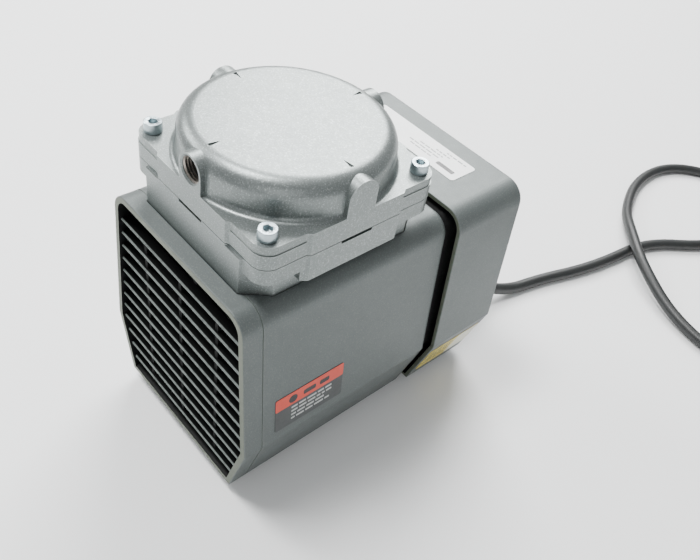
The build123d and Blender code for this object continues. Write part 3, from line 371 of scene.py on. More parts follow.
@dataclass(frozen=True)
class Moulding:
    """Moulded rubber, PVC or nylon: a dull skin with a fine texture and slightly paler rubbed edges."""

    name: str
    colour: str
    rubbed: str
    roughness: float
    ior: float
    grain_mm: float
    grain_depth_mm: float

    def make(self) -> bpy.types.Material:
        """Build the skin: dusty colour, fine grain, paler edges."""
        recipe = Recipe(self.name)
        dust = recipe.spread(recipe.noise(12.0, 4.0), 0.5, 0.8, 0.0, 0.35)
        colour = recipe.mix(dust, linear(self.colour), linear(self.rubbed))
        colour = recipe.mix(recipe.edges(0.5), colour, linear(self.rubbed))
        grain = recipe.noise(self.grain_mm, 2.0)
        gloss = recipe.spread(grain, 0.3, 0.7, self.roughness - 0.05, self.roughness + 0.08)
        normal = recipe.relief(grain, self.grain_depth_mm)
        recipe.set(Base_Color=colour, Roughness=gloss, IOR=self.ior, Normal=normal)
        return recipe.material


@dataclass(frozen=True)
class LabelFilm:
    """Printed vinyl film: smooth, slightly glossy, with a faint ripple from being smoothed down by hand."""

    name: str
    colour: str
    faded: str
    roughness: float = 0.38

    def make(self) -> bpy.types.Material:
        """Build the film: slightly uneven ink, weak ripple."""
        recipe = Recipe(self.name)
        fade = recipe.spread(recipe.noise(7.0, 3.0), 0.4, 0.8, 0.0, 0.6)
        colour = recipe.mix(fade, linear(self.colour), linear(self.faded))
        normal = recipe.relief(recipe.noise(6.0, 1.0), 0.03)
        gloss = recipe.spread(recipe.noise(1.5), 0.3, 0.7, self.roughness - 0.04, self.roughness + 0.05)
        recipe.set(Base_Color=colour, Roughness=gloss, IOR=1.48, Normal=normal)
        return recipe.material


@dataclass(frozen=True)
class WoundCopper:
    """Enamelled copper winding: parallel wires under varnish."""

    name: str
    colour: str
    shadow: str
    wire_mm: float

    def make(self) -> bpy.types.Material:
        """Build the winding: rings of wire around the motor axis."""
        recipe = Recipe(self.name)
        values = {"Vector": recipe.place, "Scale": per_metre(self.wire_mm) / math.tau, "Distortion": 0.4}
        rings = add_node(
            recipe.tree, "ShaderNodeTexWave", values, wave_type="RINGS", rings_direction="Y"
        ).outputs["Fac"]
        colour = recipe.mix(rings, linear(self.shadow), linear(self.colour))
        normal = recipe.relief(rings, self.wire_mm * 0.4)
        recipe.set(Base_Color=colour, Metallic=0.85, Roughness=0.35, Normal=normal, Coat_Weight=0.4)
        return recipe.material


class Finish(Enum):
    """Every finish on the pump."""

    # The housing paint's last colour is painted shade on its inner faces.
    HOUSING_PAINT = SilverPaint(
        "sprayed_silver_enamel", "#5f6564", "#555b5a", "#7b8280", 0.6, 0.45, 1.1, 0.03, 0.45, 0.50, "#6f7674", 0.5,
        "#5d6357", PAINTED_SHADE_BLACK,
    )
    CAST_PAINT = SilverPaint(
        "silver_enamel_on_die_casting", "#7b8180", "#6b7170", "#aeb5b2", 0.65, 0.60, 1.2, 0.04, 0.75, 0.38, "#8f9593",
        0.7,
    )
    # The crankcase below 131 mm is painted near-black shade, for the dark inside the housing.
    CASE_PAINT = replace(CAST_PAINT, name="silver_enamel_with_painted_shade_on_crankcase", painted_shade_below_mm=131.0)
    # Near black is painted shade between the slats; the grey is the slats' paint on their front edges.
    GRILLE_PAINT = EdgePaint(
        "grey_edged_slats_with_painted_shade", "#060707", "#6c7370", HOUSING_FRONT_MM + GRILLE_SETBACK_MM, 0.75
    )
    BLACK_NYLON = Moulding("moulded_black_nylon", "#0b0c0c", "#1c1e1e", 0.55, 1.53, 0.8, 0.02)
    RUBBER = Moulding("moulded_nitrile_rubber", "#101112", "#2a2b2b", 0.75, 1.52, 0.9, 0.04)
    CORD_JACKET = Moulding("extruded_pvc_cord_jacket", "#1b1d1d", "#2a2d2d", 0.45, 1.53, 1.1, 0.02)
    ALUMINIUM = BareMetal("machined_aluminium", "#c3c6c8", "#a2a6a8", 0.33, 0.6, 0.01, (1.0, 0.15, 1.0))
    POLISHED_STEEL = BareMetal("ground_bearing_steel", "#c9cbcc", "#a9acae", 0.16, 0.5, 0.004, (1.0, 0.1, 1.0))
    ZINC = BareMetal("bright_zinc_plated_steel", "#b3bfc3", "#9aa7ab", 0.32, 0.45, 0.0015)
    STEEL = BareMetal("laminated_electrical_steel", "#8d8f90", "#6c6866", 0.42, 0.7, 0.03, (0.15, 1.0, 0.15))
    CUT_THREAD = BareMetal("cut_thread_in_aluminium", "#9a938c", "#5f5853", 0.30, 0.6, 0.02)
    BRASS = BareMetal("stamped_brass", "#c9a765", "#a5854a", 0.28, 0.6, 0.01)
    COPPER = WoundCopper("enamelled_copper_winding", "#a8583a", "#52271a", 0.9)
    DARK_FILM = LabelFilm("charcoal_vinyl_label", "#3a3d3d", "#454948")
    RED_INK = LabelFilm("signal_red_label_ink", "#d2402c", "#c8452f")
    BLACK_INK = LabelFilm("black_label_ink", "#1d1f20", "#2b2e2e")
    GREY_INK = LabelFilm("grey_label_ink", "#7d8282", "#8b9090")
    PALE_INK = LabelFilm("pale_label_ink", "#b9bdbb", "#a4a9a8")
    WHITE_FILM = LabelFilm("white_vinyl_label", "#f2f4f3", "#e6eae9")
    YELLOW_FILM = LabelFilm("yellow_vinyl_label", "#c9b445", "#b7a748")
    CREAM_FILM = LabelFilm("cream_paper_label", "#cfccb6", "#c2bfab")


SLOT_FINISHES: dict[str, Finish] = {
    "housing_paint": Finish.HOUSING_PAINT,
    "cast_paint": Finish.CAST_PAINT,
    "grille_paint": Finish.GRILLE_PAINT,
    "black_plastic": Finish.BLACK_NYLON,
    "aluminium": Finish.ALUMINIUM,
    "rubber": Finish.RUBBER,
    "polished_steel": Finish.POLISHED_STEEL,
    "zinc_steel": Finish.ZINC,
    "steel": Finish.STEEL,
    "copper": Finish.COPPER,
    "dark_label": Finish.DARK_FILM,
    "white_label": Finish.WHITE_FILM,
    "yellow_label": Finish.YELLOW_FILM,
    "cord_rubber": Finish.CORD_JACKET,
    "brass": Finish.BRASS,
}


NODE_FINISHES: dict[str, Finish] = {"crankcase": Finish.CASE_PAINT, "grille_frame": Finish.BLACK_NYLON}


class PaintShop:
    """Makes each finish once and puts it on pieces."""

    def __init__(self) -> None:
        """Start with no finish made."""
        self.made: dict[Finish, bpy.types.Material] = {}

    def material(self, finish: Finish) -> bpy.types.Material:
        """The material of a finish, made on first use."""
        if finish not in self.made:
            self.made[finish] = finish.value.make()
        return self.made[finish]

    def dress(self, piece: bpy.types.Object, finish: Finish) -> None:
        """Give a whole piece one finish.

        Args:
            piece: Piece to be finished.
            finish: Finish that it gets.
        """
        if piece.material_slots:
            for slot in piece.material_slots:
                slot.material = self.material(finish)
        else:
            piece.data.materials.append(self.material(finish))


# ------------------------------------------------------------------------------ mesh helpers
def new_piece(name: str, mesh_or_curve: bpy.types.ID) -> bpy.types.Object:
    """Put a mesh or curve into the scene as a named piece."""
    piece = bpy.data.objects.new(name, mesh_or_curve)
    bpy.context.scene.collection.objects.link(piece)
    return piece


def mesh_piece(name: str, fill: Callable[[bmesh.types.BMesh], None], smooth_angle: float = 35.0) -> bpy.types.Object:
    """Make a mesh piece.

    Args:
        name: Name of the piece.
        fill: Function that adds the geometry.
        smooth_angle: Edges sharper than this many degrees stay sharp.

    Returns:
        The new piece.
    """
    mesh = bpy.data.meshes.new(name)
    bm = bmesh.new()
    fill(bm)
    bmesh.ops.recalc_face_normals(bm, faces=bm.faces)
    for face in bm.faces:
        face.smooth = True
    for edge in bm.edges:
        if len(edge.link_faces) == 2 and edge.calc_face_angle(0.0) > math.radians(smooth_angle):
            edge.smooth = False
    bm.to_mesh(mesh)
    bm.free()
    return new_piece(name, mesh)


def add_loft(bm: bmesh.types.BMesh, rings: Sequence[Sequence[Vector]], closed: bool = True) -> None:
    """Skin a row of rings with equal numbers of points, and cap both ends.

    Args:
        bm: Mesh that receives the skin.
        rings: Rings of points, in order along the piece.
        closed: Whether the first and last rings are capped.
    """
    rows = [[bm.verts.new(point) for point in ring] for ring in rings]
    count = len(rows[0])
    for low, high in zip(rows, rows[1:]):
        for i in range(count):
            j = (i + 1) % count
            bm.faces.new((low[i], low[j], high[j], high[i]))
    if closed:
        bm.faces.new(rows[0])
        bm.faces.new(rows[-1])


@dataclass(frozen=True)
class Axes:
    """A local frame: an origin with a right, an up and an outward direction."""

    origin: Vector
    right: Vector
    up: Vector
    out: Vector

    def at(self, right: float, up: float, out: float = 0.0) -> Vector:
        """Point at the given distances along the three directions."""
        return self.origin + self.right * right + self.up * up + self.out * out


def axes_along(origin: Vector, out: Vector) -> Axes:
    """Local frame whose outward direction is given, with an upright up direction where there is one."""
    out = out.normalized()
    hint = Vector((0, 0, 1)) if abs(out.z) < 0.9 else Vector((0, 1, 0))
    right = hint.cross(out).normalized()
    return Axes(origin, right, out.cross(right), out)


def circle_ring(axes: Axes, radius: Callable[[float], float], out: float, count: int) -> list[Vector]:
    """Ring around the outward axis, with a radius that may change with the angle.

    Args:
        axes: Local frame of the piece.
        radius: Radius at each angle in radians.
        out: Distance along the outward axis.
        count: Number of points.

    Returns:
        The ring's points.
    """
    points = []
    for i in range(count):
        angle = math.tau * i / count
        size = radius(angle)
        points.append(axes.at(size * math.cos(angle), size * math.sin(angle), out))
    return points


def add_turned(bm: bmesh.types.BMesh, axes: Axes, profile: Profile, count: int = 48) -> None:
    """Add a turned solid.

    Args:
        bm: Mesh that receives the solid.
        axes: Local frame whose outward direction is the axis of the turning.
        profile: Radius and distance along the axis, from one end to the other, in millimetres.
        count: Number of points around.
    """
    rings = [
        circle_ring(axes, lambda _angle, size=size: size * MM, along * MM, count) for size, along in profile
    ]
    add_loft(bm, rings)


def add_patch(
    bm: bmesh.types.BMesh,
    axes: Axes,
    centre: tuple[float, float],
    size: tuple[float, float],
    corner: float,
    low: float,
    high: float,
) -> None:
    """Add a thin plate with rounded corners.

    Args:
        bm: Mesh that receives the plate.
        axes: Local frame in which it lies.
        centre: Middle of the plate along right and up.
        size: Width and height.
        corner: Corner radius.
        low: Underside, along the outward direction.
        high: Upper side, along the outward direction.
    """
    steps = 4
    outline = []
    for turn, (x_side, y_side) in enumerate(((1, 1), (-1, 1), (-1, -1), (1, -1))):
        middle_x = centre[0] + x_side * (size[0] / 2 - corner)
        middle_y = centre[1] + y_side * (size[1] / 2 - corner)
        for i in range(steps + 1):
            angle = math.pi / 2 * (turn + i / steps)
            outline.append((middle_x + corner * math.cos(angle), middle_y + corner * math.sin(angle)))
    add_loft(bm, [[axes.at(x, y, out) for x, y in outline] for out in (low, high)])


def face_axes(node: bpy.types.Object, out_hint: Vector, up_hint: Vector) -> tuple[Axes, float, float]:
    """Local frame of a flat label, from the mesh that it has in the frame.

    Args:
        node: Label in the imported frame.
        out_hint: Direction that its printed side roughly faces.
        up_hint: Direction that is roughly up on it.

    Returns:
        The frame at the middle of the printed side, the width and the height.
    """
    faces = [face for face in node.data.polygons if face.normal.dot(out_hint) > 0.5]
    out = sum((face.normal * face.area for face in faces), Vector()).normalized()
    right = up_hint.cross(out).normalized()
    up = out.cross(right)
    spans = []
    for direction in (right, up, out):
        reach = [vertex.co.dot(direction) for vertex in node.data.vertices]
        spans.append((min(reach), max(reach)))
    (left, far), (bottom, top), (_, surface) = spans
    origin = right * (left + far) / 2 + up * (bottom + top) / 2 + out * surface
    return Axes(origin, right, up, out), far - left, top - bottom


# ------------------------------------------------------------------------------ studio
@dataclass
class Studio:
    """Pale floor, soft light and the camera."""

    azimuth: float = 41.56
    elevation: float = 43.74
    roll: float = 10.69
    eye: tuple[float, float, float] = (0.2207, -0.2195, 0.3711)
    lens_mm: float = 40.0
    sensor_mm: float = 36.0

    def build_camera(self) -> bpy.types.Object:
        """Set the camera in front of the grille's right-hand corner, looking down at the pump."""
        azimuth, elevation, roll = (math.radians(a) for a in (self.azimuth, self.elevation, self.roll))
        back = Vector(
            (
                math.cos(elevation) * math.sin(azimuth),
                -math.cos(elevation) * math.cos(azimuth),
                math.sin(elevation),
            )
        )
        level = Vector((math.cos(azimuth), math.sin(azimuth), 0.0))
        upright = back.cross(level)
        right = level * math.cos(roll) + upright * math.sin(roll)
        up = back.cross(right)
        data = bpy.data.cameras.new("camera")
        data.lens = self.lens_mm
        data.sensor_width = self.sensor_mm
        data.clip_start = 0.01
        camera = new_piece("camera", data)
        turn = Matrix((right, up, back)).transposed()
        camera.matrix_world = Matrix.Translation(self.eye) @ turn.to_4x4()
        bpy.context.scene.camera = camera
        return camera

    def add_softbox(
        self, name: str, place: tuple[float, float, float], size: float, power: float, aim: Vector
    ) -> None:
        """Add one square area light.

        Args:
            name: Name of the light.
            place: Where it stands.
            size: Length of its side.
            power: Power in watts.
            aim: Point that it faces.
        """
        data = bpy.data.lights.new(name, "AREA")
        data.size = size
        data.energy = power
        light = new_piece(name, data)
        light.location = place
        light.rotation_euler = (aim - Vector(place)).to_track_quat("-Z", "Y").to_euler()

    def build_light(self) -> None:
        """Light the pump with a dim pale room, a strong light behind it and three weaker softboxes."""
        world = bpy.data.worlds.new("pale_room")
        bpy.context.scene.world = world
        world.use_nodes = True
        world.node_tree.nodes.clear()
        shell = add_node(world.node_tree, "ShaderNodeBackground", {"Color": linear("#f4f6f7"), "Strength": 0.55})
        add_node(world.node_tree, "ShaderNodeOutputWorld", {"Surface": shell.outputs["Background"]})
        aim = Vector((0.0, 0.0, 0.1))
        self.add_softbox("rear_softbox", (-0.80, 0.90, 1.15), 0.9, 46.0, aim)
        self.add_softbox("overhead_softbox", (-0.32, -0.24, 1.35), 0.35, 21.0, aim)
        self.add_softbox("left_softbox", (-1.05, -0.35, 0.80), 0.35, 9.0, aim)
        self.add_softbox("right_softbox", (1.1, -1.1, 0.7), 0.9, 5.0, aim)

    def build_floor(self) -> bpy.types.Object:
        """Lay the pale floor."""
        half = 6.0

        def fill(bm: bmesh.types.BMesh) -> None:
            """One large square."""
            corners = [(-half, -half, 0), (half, -half, 0), (half, half, 0), (-half, half, 0)]
            bm.faces.new([bm.verts.new(corner) for corner in corners])

        floor = mesh_piece("studio_floor", fill)
        recipe = Recipe("matt_white_studio_floor")
        recipe.set(Base_Color=linear("#f3f4f4"), Roughness=0.9)
        floor.data.materials.append(recipe.material)
        return floor


# ------------------------------------------------------------------------------ mains cord
@dataclass
class MainsCord:
    """Round PVC mains cord: out of the rear cover, across the floor in one loop, then wound into a coil."""

    diameter: float = 0.008
    length: float = 1.80
    exit: tuple[float, float, float] = (0.024, 0.0885, 0.022)
    route: list[tuple[float, float, float]] = field(
        default_factory=lambda: [
            (0.024, 0.0885, 0.022),
            (0.024, 0.119, 0.022),
            (0.035, 0.152, 0.0041),
            (0.0415, 0.184, 0.0041),
            (0.0515, 0.215, 0.0041),
            (0.0575, 0.243, 0.0041),
            (0.063, 0.291, 0.0041),
            (0.093, 0.330, 0.0041),
            (0.110, 0.376, 0.0041),
            (0.094, 0.420, 0.0041),
            (0.050, 0.434, 0.0041),
            (0.014, 0.404, 0.0041),
            (0.010, 0.358, 0.0041),
            (0.031, 0.307, 0.007),
            (0.053, 0.280, 0.0129),
            (0.080, 0.254, 0.0129),
            (0.122, 0.235, 0.005),
            (0.168, 0.2305, 0.0041),
        ]
    )
    coil_turns: float = 3.5
    points_per_turn: int = 18
    layer_rise: float = 0.0081

    def coil_points(self) -> list[tuple[float, float, float]]:
        """Points of the coil, from the bottom outer ring through the inner rings to the top outer ring.

        Returns:
            Control points, with the radius let out a little because the line cuts inside its points.
        """
        low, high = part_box("cord_coil")
        centre_x, centre_y = (low[0] + high[0]) / 2, (low[1] + high[1]) / 2
        outer = (high[0] - low[0]) / 2 - self.diameter / 2 - 0.0002
        inner = outer - self.diameter
        base = low[2] + self.diameter / 2
        let_out = 1 / math.cos(math.pi / self.points_per_turn)
        points = []
        for i in range(1, round(self.coil_turns * self.points_per_turn) + 1):
            turn = i / self.points_per_turn
            inwards = ease(turn, 0.84, 0.99) - ease(turn, 2.60, 2.78)
            climbed = ease(turn, 1.68, 1.88)
            radius = (outer + (inner - outer) * inwards) * let_out
            angle = math.tau * (turn - 0.25)
            x = centre_x + radius * math.cos(angle)
            y = centre_y + radius * math.sin(angle)
            points.append((x, y, base + self.layer_rise * climbed))
        return points

    def build(self, shop: PaintShop) -> bpy.types.Object:
        """Lay the cord along its route and coil, and end it in the plug's neck.

        Args:
            shop: Where its jacket comes from.

        Returns:
            The cord.
        """
        tail_low, tail_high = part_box("cord_tail")
        plug_low, plug_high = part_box("plug_body")
        tail_y = (tail_low[1] + tail_high[1]) / 2
        tail_z = (tail_low[2] + tail_high[2]) / 2
        coil = self.coil_points()
        tail = [(coil[-1][0] - 0.016, tail_y, tail_z), (plug_high[0] + 0.010, tail_y, tail_z)]
        tail.append((plug_high[0] - 0.001, tail_y, tail_z))
        points = self.route + coil + tail
        data = bpy.data.curves.new("power_cord_jacket", "CURVE")
        data.dimensions = "3D"
        data.bevel_depth = self.diameter / 2
        data.bevel_resolution = 6
        data.resolution_u = 8
        data.use_fill_caps = True
        spline = data.splines.new("NURBS")
        spline.points.add(len(points) - 1)
        for point, place in zip(spline.points, points):
            point.co = (*place, 1.0)
        spline.order_u = 3
        spline.use_endpoint_u = True
        cord = new_piece("power_cord_jacket", data)
        shop.dress(cord, Finish.CORD_JACKET)
        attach(cord, "pump")
        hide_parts("power_cord", "cord_coil", "cord_tail")
        return cord


def ease(value: float, start: float, end: float) -> float:
    """Smooth step from zero at start to one at end."""
    share = min(max((value - start) / (end - start), 0.0), 1.0)
    return share * share * (3 - 2 * share)


@dataclass
class CordFittings:
    """The strain relief at the rear cover and the moulded plug on the far end."""

    rib_count: int = 5
    pin_rounding_mm: float = 0.5

    def build_relief(self, shop: PaintShop) -> bpy.types.Object:
        """Tapered relief with bend ribs, seated in the rear cover.

        Args:
            shop: Where its skin comes from.

        Returns:
            The strain relief.
        """
        low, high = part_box("strain_relief")
        axes = axes_along(Vector(((low[0] + high[0]) / 2, low[1], (low[2] + high[2]) / 2)), Vector((0, 1, 0)))
        flange = (high[0] - low[0]) / 2 / MM
        total = (high[1] - low[1]) / MM
        neck_start = 5.2
        profile = [(4.1, 0.0), (6.9, 0.0), (6.9, 5.1), (flange - 0.5, neck_start), (flange, 5.7), (flange, 7.2)]
        profile += [(flange - 0.5, 7.7), (7.0, 7.8)]
        step = (total - 9.0) / self.rib_count
        for i in range(self.rib_count):
            along = 8.2 + step * i
            radius = 6.8 - 1.4 * i / self.rib_count
            profile += [(radius, along), (radius, along + step * 0.55), (radius - 0.9, along + step * 0.62)]
            profile.append((radius - 0.9, along + step * 0.93))
        profile += [(5.2, total - 0.6), (4.9, total), (4.1, total)]
        piece = mesh_piece("strain_relief_ribbed", lambda bm: add_turned(bm, axes, profile))
        shop.dress(piece, Finish.CORD_JACKET)
        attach(piece, "pump")
        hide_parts("strain_relief")
        return piece

    def build_plug(self, shop: PaintShop) -> bpy.types.Object:
        """Moulded plug: ribbed neck, body with grip flutes and a flat face for the pins.

        Args:
            shop: Where its skin comes from.

        Returns:
            The plug body.
        """
        low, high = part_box("plug_body")
        middle = Vector((high[0], (low[1] + high[1]) / 2, (low[2] + high[2]) / 2))
        axes = axes_along(middle, Vector((-1, 0, 0)))
        body = (high[1] - low[1]) / 2 / MM
        total = (high[0] - low[0]) / MM
        neck = [(4.2, 0.0), (4.9, 0.4)]
        for i in range(4):
            along = 1.2 + 3.0 * i
            radius = 5.3 + 0.5 * i
            neck += [(radius, along), (radius, along + 1.6), (radius - 0.8, along + 1.9), (radius - 0.8, along + 2.8)]
        shell = [(8.2, 14.0), (10.2, 17.0), (body - 0.5, 20.0), (body, 23.0), (body, total - 4.0)]
        face = [(body - 0.6, total - 1.4), (body - 1.8, total), (0.4, total)]
        flutes = 10
        flute_depth = 0.7

        def fluted(size: float, along: float) -> Callable[[float], float]:
            """Radius around the body, with grip flutes on its middle stretch."""
            depth = flute_depth * ease(along, 20.0, 24.0) * (1 - ease(along, total - 9.0, total - 4.0))
            return lambda angle: (size - depth * max(math.cos(flutes * angle), 0.0)) * MM

        middle_rows = [(body, along) for along in (25.0, 28.0, 31.0, 34.0, 36.0)]
        rows = neck + shell[:-1] + middle_rows + [shell[-1]] + face

        def fill(bm: bmesh.types.BMesh) -> None:
            """Loft the rows of the plug."""
            add_loft(bm, [circle_ring(axes, fluted(size, along), along * MM, 80) for size, along in rows])

        piece = mesh_piece("plug_moulding", fill)
        shop.dress(piece, Finish.CORD_JACKET)
        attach(piece, "pump")
        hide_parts("plug_body")
        return piece


# ------------------------------------------------------------------------------ head hardware
@dataclass
class HeadScrews:
    """Four socket cap screws with knurled heads that hold the pump head down."""

    head_radius_mm: float = 4.25
    head_height_mm: float = 5.0
    shank_radius_mm: float = 2.45
    socket_flats_mm: float = 4.0
    socket_depth_mm: float = 2.6
    knurl_count: int = 48
    knurl_depth_mm: float = 0.07

    def socket_radius(self, angle: float) -> float:
        """Distance from the middle to the side of the hexagonal socket at an angle."""
        turned = (angle + math.pi / 6) % (math.pi / 3) - math.pi / 6
        return self.socket_flats_mm / 2 / math.cos(turned) * MM

    def fill_screw(self, bm: bmesh.types.BMesh, axes: Axes, shank: float) -> None:
        """Add one screw, its top at the frame's origin.

        Args:
            bm: Mesh that receives the screw.
            axes: Local frame at the top of the head, facing up.
            shank: Length under the head, in millimetres.
        """
        count = self.knurl_count * 4
        rim = self.head_radius_mm

        def knurl(angle: float) -> float:
            """Knurled side of the head."""
            ridge = 0.5 + 0.5 * math.cos(self.knurl_count * angle)
            return (rim - self.knurl_depth_mm * (1 - ridge)) * MM

        def plain(size: float) -> Callable[[float], float]:
            """Round section of the given radius in millimetres."""
            return lambda _angle: size * MM

        under = -self.head_height_mm
        rows: list[tuple[Callable[[float], float], float]] = [
            (plain(self.shank_radius_mm - 0.4), under - shank),
            (plain(self.shank_radius_mm), under - shank + 0.5),
            (plain(self.shank_radius_mm), under),
            (plain(rim - 0.3), under),
            (knurl, under + 0.25),
            (knurl, -1.1),
            (plain(rim - 0.07), -0.95),
            (plain(rim - 0.07), -0.40),
            (plain(rim - 0.17), -0.14),
            (plain(rim - 0.40), 0.0),
            (plain(self.socket_flats_mm / 2 + 0.40), 0.0),
            (self.socket_radius, -0.14),
            (self.socket_radius, -self.socket_depth_mm),
            (plain(0.7), -self.socket_depth_mm - 0.4),
        ]
        add_loft(bm, [circle_ring(axes, radius, out * MM, count) for radius, out in rows])

    def build(self, shop: PaintShop) -> bpy.types.Object:
        """Set the four screws into the corners of the head.

        Args:
            shop: Where the plating comes from.

        Returns:
            The four screws as one piece.
        """
        low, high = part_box("head_screws")
        rim = self.head_radius_mm * MM
        shank = (high[2] - low[2]) / MM - self.head_height_mm
        corners = [(x, y) for x in (low[0] + rim, high[0] - rim) for y in (low[1] + rim, high[1] - rim)]

        def fill(bm: bmesh.types.BMesh) -> None:
            """Add a screw at each corner, each stopped at its own angle."""
            for turn, (x, y) in enumerate(corners):
                angle = 0.35 + 1.3 * turn
                right = Vector((math.cos(angle), math.sin(angle), 0))
                up = Vector((-math.sin(angle), math.cos(angle), 0))
                self.fill_screw(bm, Axes(Vector((x, y, high[2])), right, up, Vector((0, 0, 1))), shank)

        piece = mesh_piece("socket_cap_screws", fill, smooth_angle=28.0)
        shop.dress(piece, Finish.ZINC)
        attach(piece, "pump")
        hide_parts("head_screws")
        return piece


@dataclass
class PortThread:
    """Cut pipe thread in one port of the head: a ridge that winds inwards from the mouth."""

    mount: dict[str, object]
    pitch_mm: float = 1.41
    ridge_height_mm: float = 0.75
    points_per_turn: int = 48
    reach_mm: float = 9.2

    def build(self, shop: PaintShop) -> bpy.types.Object:
        """Wind the thread ridge around the port's wall.

        Args:
            shop: Where the cut metal finish comes from.

        Returns:
            The thread.
        """
        out = Vector(self.mount["axis"])
        wall_mm = self.mount["dims"]["r_mm"]
        length_mm = self.mount["dims"]["length_mm"]
        mouth = Vector(self.mount["pos_m"]) + out * length_mm / 2 * MM
        axes = axes_along(mouth, out)
        turns = self.reach_mm / self.pitch_mm
        count = round(turns * self.points_per_turn)

        def ring(step: int) -> list[Vector]:
            """Three-sided section of the ridge, low at both ends of the thread."""
            turn = step / self.points_per_turn
            angle = math.tau * turn
            swell = ease(turn, 0.0, 0.6) * (1 - ease(turn, turns - 0.5, turns))
            deep = -turn * self.pitch_mm - 0.25
            crest = wall_mm - 0.05 - self.ridge_height_mm * swell
            section = [(wall_mm + 0.03, deep + 0.62), (crest, deep + 0.07), (crest, deep - 0.07)]
            section.append((wall_mm + 0.03, deep - 0.62))
            return [
                axes.at(size * MM * math.cos(angle), size * MM * math.sin(angle), along * MM)
                for size, along in section
            ]

        name = f"{self.mount['name']}_thread"
        piece = mesh_piece(name, lambda bm: add_loft(bm, [ring(step) for step in range(count + 1)]))
        shop.dress(piece, Finish.CUT_THREAD)
        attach(piece, "pump")
        return piece


# ------------------------------------------------------------------------------ labels
@dataclass
class PrintedLabel:
    """Shared work of the labels: their frame, and raised print made of plain bars."""

    ink_mm: float = 0.04

    def print_piece(
        self,
        name: str,
        slot: str,
        axes: Axes,
        patches: Iterable[tuple[tuple[float, float], tuple[float, float], float]],
        finish: Finish,
        shop: PaintShop,
        layer: int = 0,
    ) -> bpy.types.Object:
        """Print one colour on a label.

        Args:
            name: Name of the print.
            slot: Material slot of the label; not used.
            axes: Local frame of the label's face.
            patches: Middle, size and corner radius of each patch, in metres.
            finish: Ink.
            shop: Where the ink comes from.
            layer: How many inks lie under this one.

        Returns:
            The print as one piece.
        """
        low = layer * self.ink_mm * MM
        high = low + self.ink_mm * MM

        def fill(bm: bmesh.types.BMesh) -> None:
            """Add each patch of ink."""
            for centre, size, corner in patches:
                add_patch(bm, axes, centre, size, corner, low, high)

        piece = mesh_piece(name, fill)
        shop.dress(piece, finish)
        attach(piece, "pump")
        return piece

    def dashes(
        self, left: float, right: float, middle: float, height: float, seed: int
    ) -> list[tuple[tuple[float, float], tuple[float, float], float]]:
        """A row of bars of uneven length that stands for a line of small print.

        Args:
            left: Where the row starts.
            right: Where it ends at the latest.
            middle: Height of the row's middle on the label.
            height: Height of the bars.
            seed: Number that fixes the lengths.

        Returns:
            The patches of the row.
        """
        lengths = random.Random(seed)
        patches = []
        start = left
        while start < right - height:
            length = min(height * lengths.uniform(1.6, 5.5), right - start)
            patches.append(((start + length / 2, middle), (length, height), height * 0.3))
            start += length + height * 0.8
        return patches


@dataclass
class SideLabel(PrintedLabel):
    """Charcoal label on the side of the shroud, with a red band and four rows of small print."""

    band_share: float = 0.37

    def build(self, frame: dict, shop: PaintShop) -> None:
        """Print the band and the rows.

        Args:
            frame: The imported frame.
            shop: Where the inks come from.
        """
        axes, width, height = face_axes(frame["nodes"]["side_label"], Vector((1, 0, 0)), Vector((0, 0, 1)))
        band = height * self.band_share
        band_middle = height / 2 - band / 2
        size = (width, band)
        self.print_piece(
            "side_label_band", "dark_label", axes, [((0.0, band_middle), size, 0.8 * MM)], Finish.RED_INK, shop
        )
        heading = self.dashes(-width * 0.10, width * 0.36, band_middle - band * 0.05, band * 0.36, 4)
        heading.append(((-width * 0.25, band_middle - band * 0.05), (band * 0.62, band * 0.62), band * 0.3))
        self.print_piece("side_label_heading", "dark_label", axes, heading, Finish.BLACK_INK, shop, layer=1)
        rows = []
        row_pitch = (height - band) / 5.4
        for row in range(4):
            middle = height / 2 - band - row_pitch * (row + 0.9)
            end = width * (0.34 if row != 2 else 0.22)
            rows += self.dashes(-width * 0.27, end, middle, row_pitch * 0.42, 11 + row)
        self.print_piece("side_label_print", "dark_label", axes, rows, Finish.PALE_INK, shop)


@dataclass
class Nameplate(PrintedLabel):
    """White label on top of the rear cover, with a plain emblem bar and rows of grey print."""

    def build(self, frame: dict, shop: PaintShop) -> None:
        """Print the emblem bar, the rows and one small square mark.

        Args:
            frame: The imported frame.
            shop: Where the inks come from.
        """
        axes, width, height = face_axes(frame["nodes"]["nameplate"], Vector((0, 0, 1)), Vector((0, 1, 0)))
        bold = [((width * 0.36, -height * 0.22), (width * 0.17, height * 0.15), height * 0.04)]
        bold.append(((-width * 0.42, height * 0.20), (height * 0.16, height * 0.16), height * 0.08))
        self.print_piece("nameplate_emblem", "white_label", axes, bold, Finish.BLACK_INK, shop)
        rows = []
        for row, (start, end) in enumerate(((0.24, 0.44), (0.16, 0.30), (0.02, 0.26), (-0.06, 0.26), (-0.02, 0.20))):
            middle = height * (0.34 - 0.13 * row)
            rows += self.dashes(width * start, width * end, middle, height * 0.045, 31 + row)
        self.print_piece("nameplate_print", "white_label", axes, rows, Finish.GREY_INK, shop)


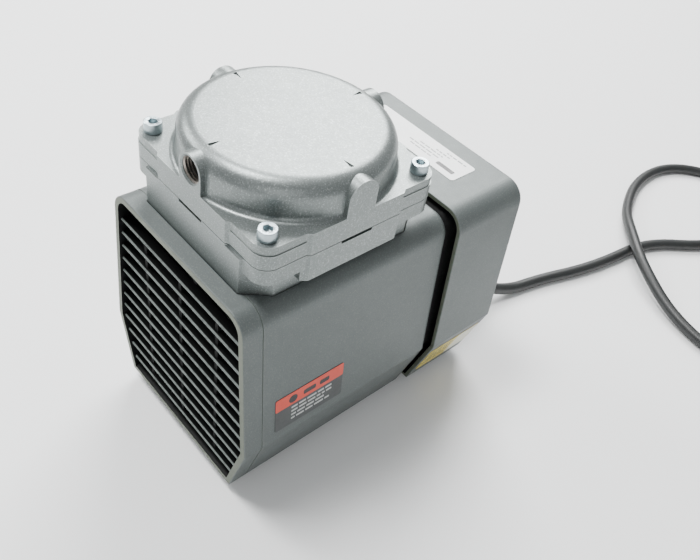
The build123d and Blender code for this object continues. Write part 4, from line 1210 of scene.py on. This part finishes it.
@dataclass
class CoverLabel(PrintedLabel):
    """Yellow label low on the rear cover, with a cream paper field beside it."""

    cream_share: float = 0.42

    def build(self, frame: dict, shop: PaintShop) -> None:
        """Lay the cream field and print the rows.

        Args:
            frame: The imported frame.
            shop: Where the film and the ink come from.
        """
        node = frame["nodes"]["cover_label"]
        axes, width, height = face_axes(node, Vector((0.8, 0, -0.3)), Vector((0, 0, 1)))
        cream = width * self.cream_share
        field_middle = width / 2 - cream / 2
        cream_patch = [((field_middle, 0.0), (cream, height), 0.8 * MM)]
        self.print_piece("cover_label_cream", "yellow_label", axes, cream_patch, Finish.CREAM_FILM, shop)
        rows = []
        for row in range(4):
            rows += self.dashes(-width * 0.44, width * 0.02, height * (0.3 - 0.18 * row), height * 0.06, 51 + row)
        self.print_piece("cover_label_print", "yellow_label", axes, rows, Finish.BLACK_INK, shop)


# ------------------------------------------------------------------------------ assembly
def dress_frame(frame: dict, shop: PaintShop) -> None:
    """Give every node of the frame the finish of its material slot.

    Args:
        frame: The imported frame.
        shop: Where the finishes come from.
    """
    for part in frame["record"]["subparts"]:
        finish = NODE_FINISHES.get(part["node"], SLOT_FINISHES[part["material_slot"]])
        shop.dress(frame["nodes"][part["node"]], finish)


def main() -> None:
    """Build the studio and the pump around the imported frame."""
    logging.basicConfig(level=logging.INFO, format="%(name)s: %(message)s")
    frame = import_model()
    shop = PaintShop()

    studio = Studio()
    studio.build_camera()
    studio.build_light()
    studio.build_floor()
    log.info("studio ready")

    cord_design = MainsCord()
    fittings = CordFittings()
    cord = cord_design.build(shop)
    relief = fittings.build_relief(shop)
    plug = fittings.build_plug(shop)
    log.info("cord, strain relief and plug laid")

    dress_frame(frame, shop)
    log.info("%d nodes of the frame finished", len(frame["nodes"]))

    HeadScrews().build(shop)
    log.info("head screws set")
    ports = [mount for mount in frame["record"]["mounts"] if mount["kind"] == "threaded_hole"]
    for port in ports:
        PortThread(port).build(shop)
    log.info("%d port threads cut", len(ports))

    for label in (SideLabel(), Nameplate(), CoverLabel()):
        label.build(frame, shop)
        log.info("%s printed", type(label).__name__)


if __name__ == "__main__":
    main()
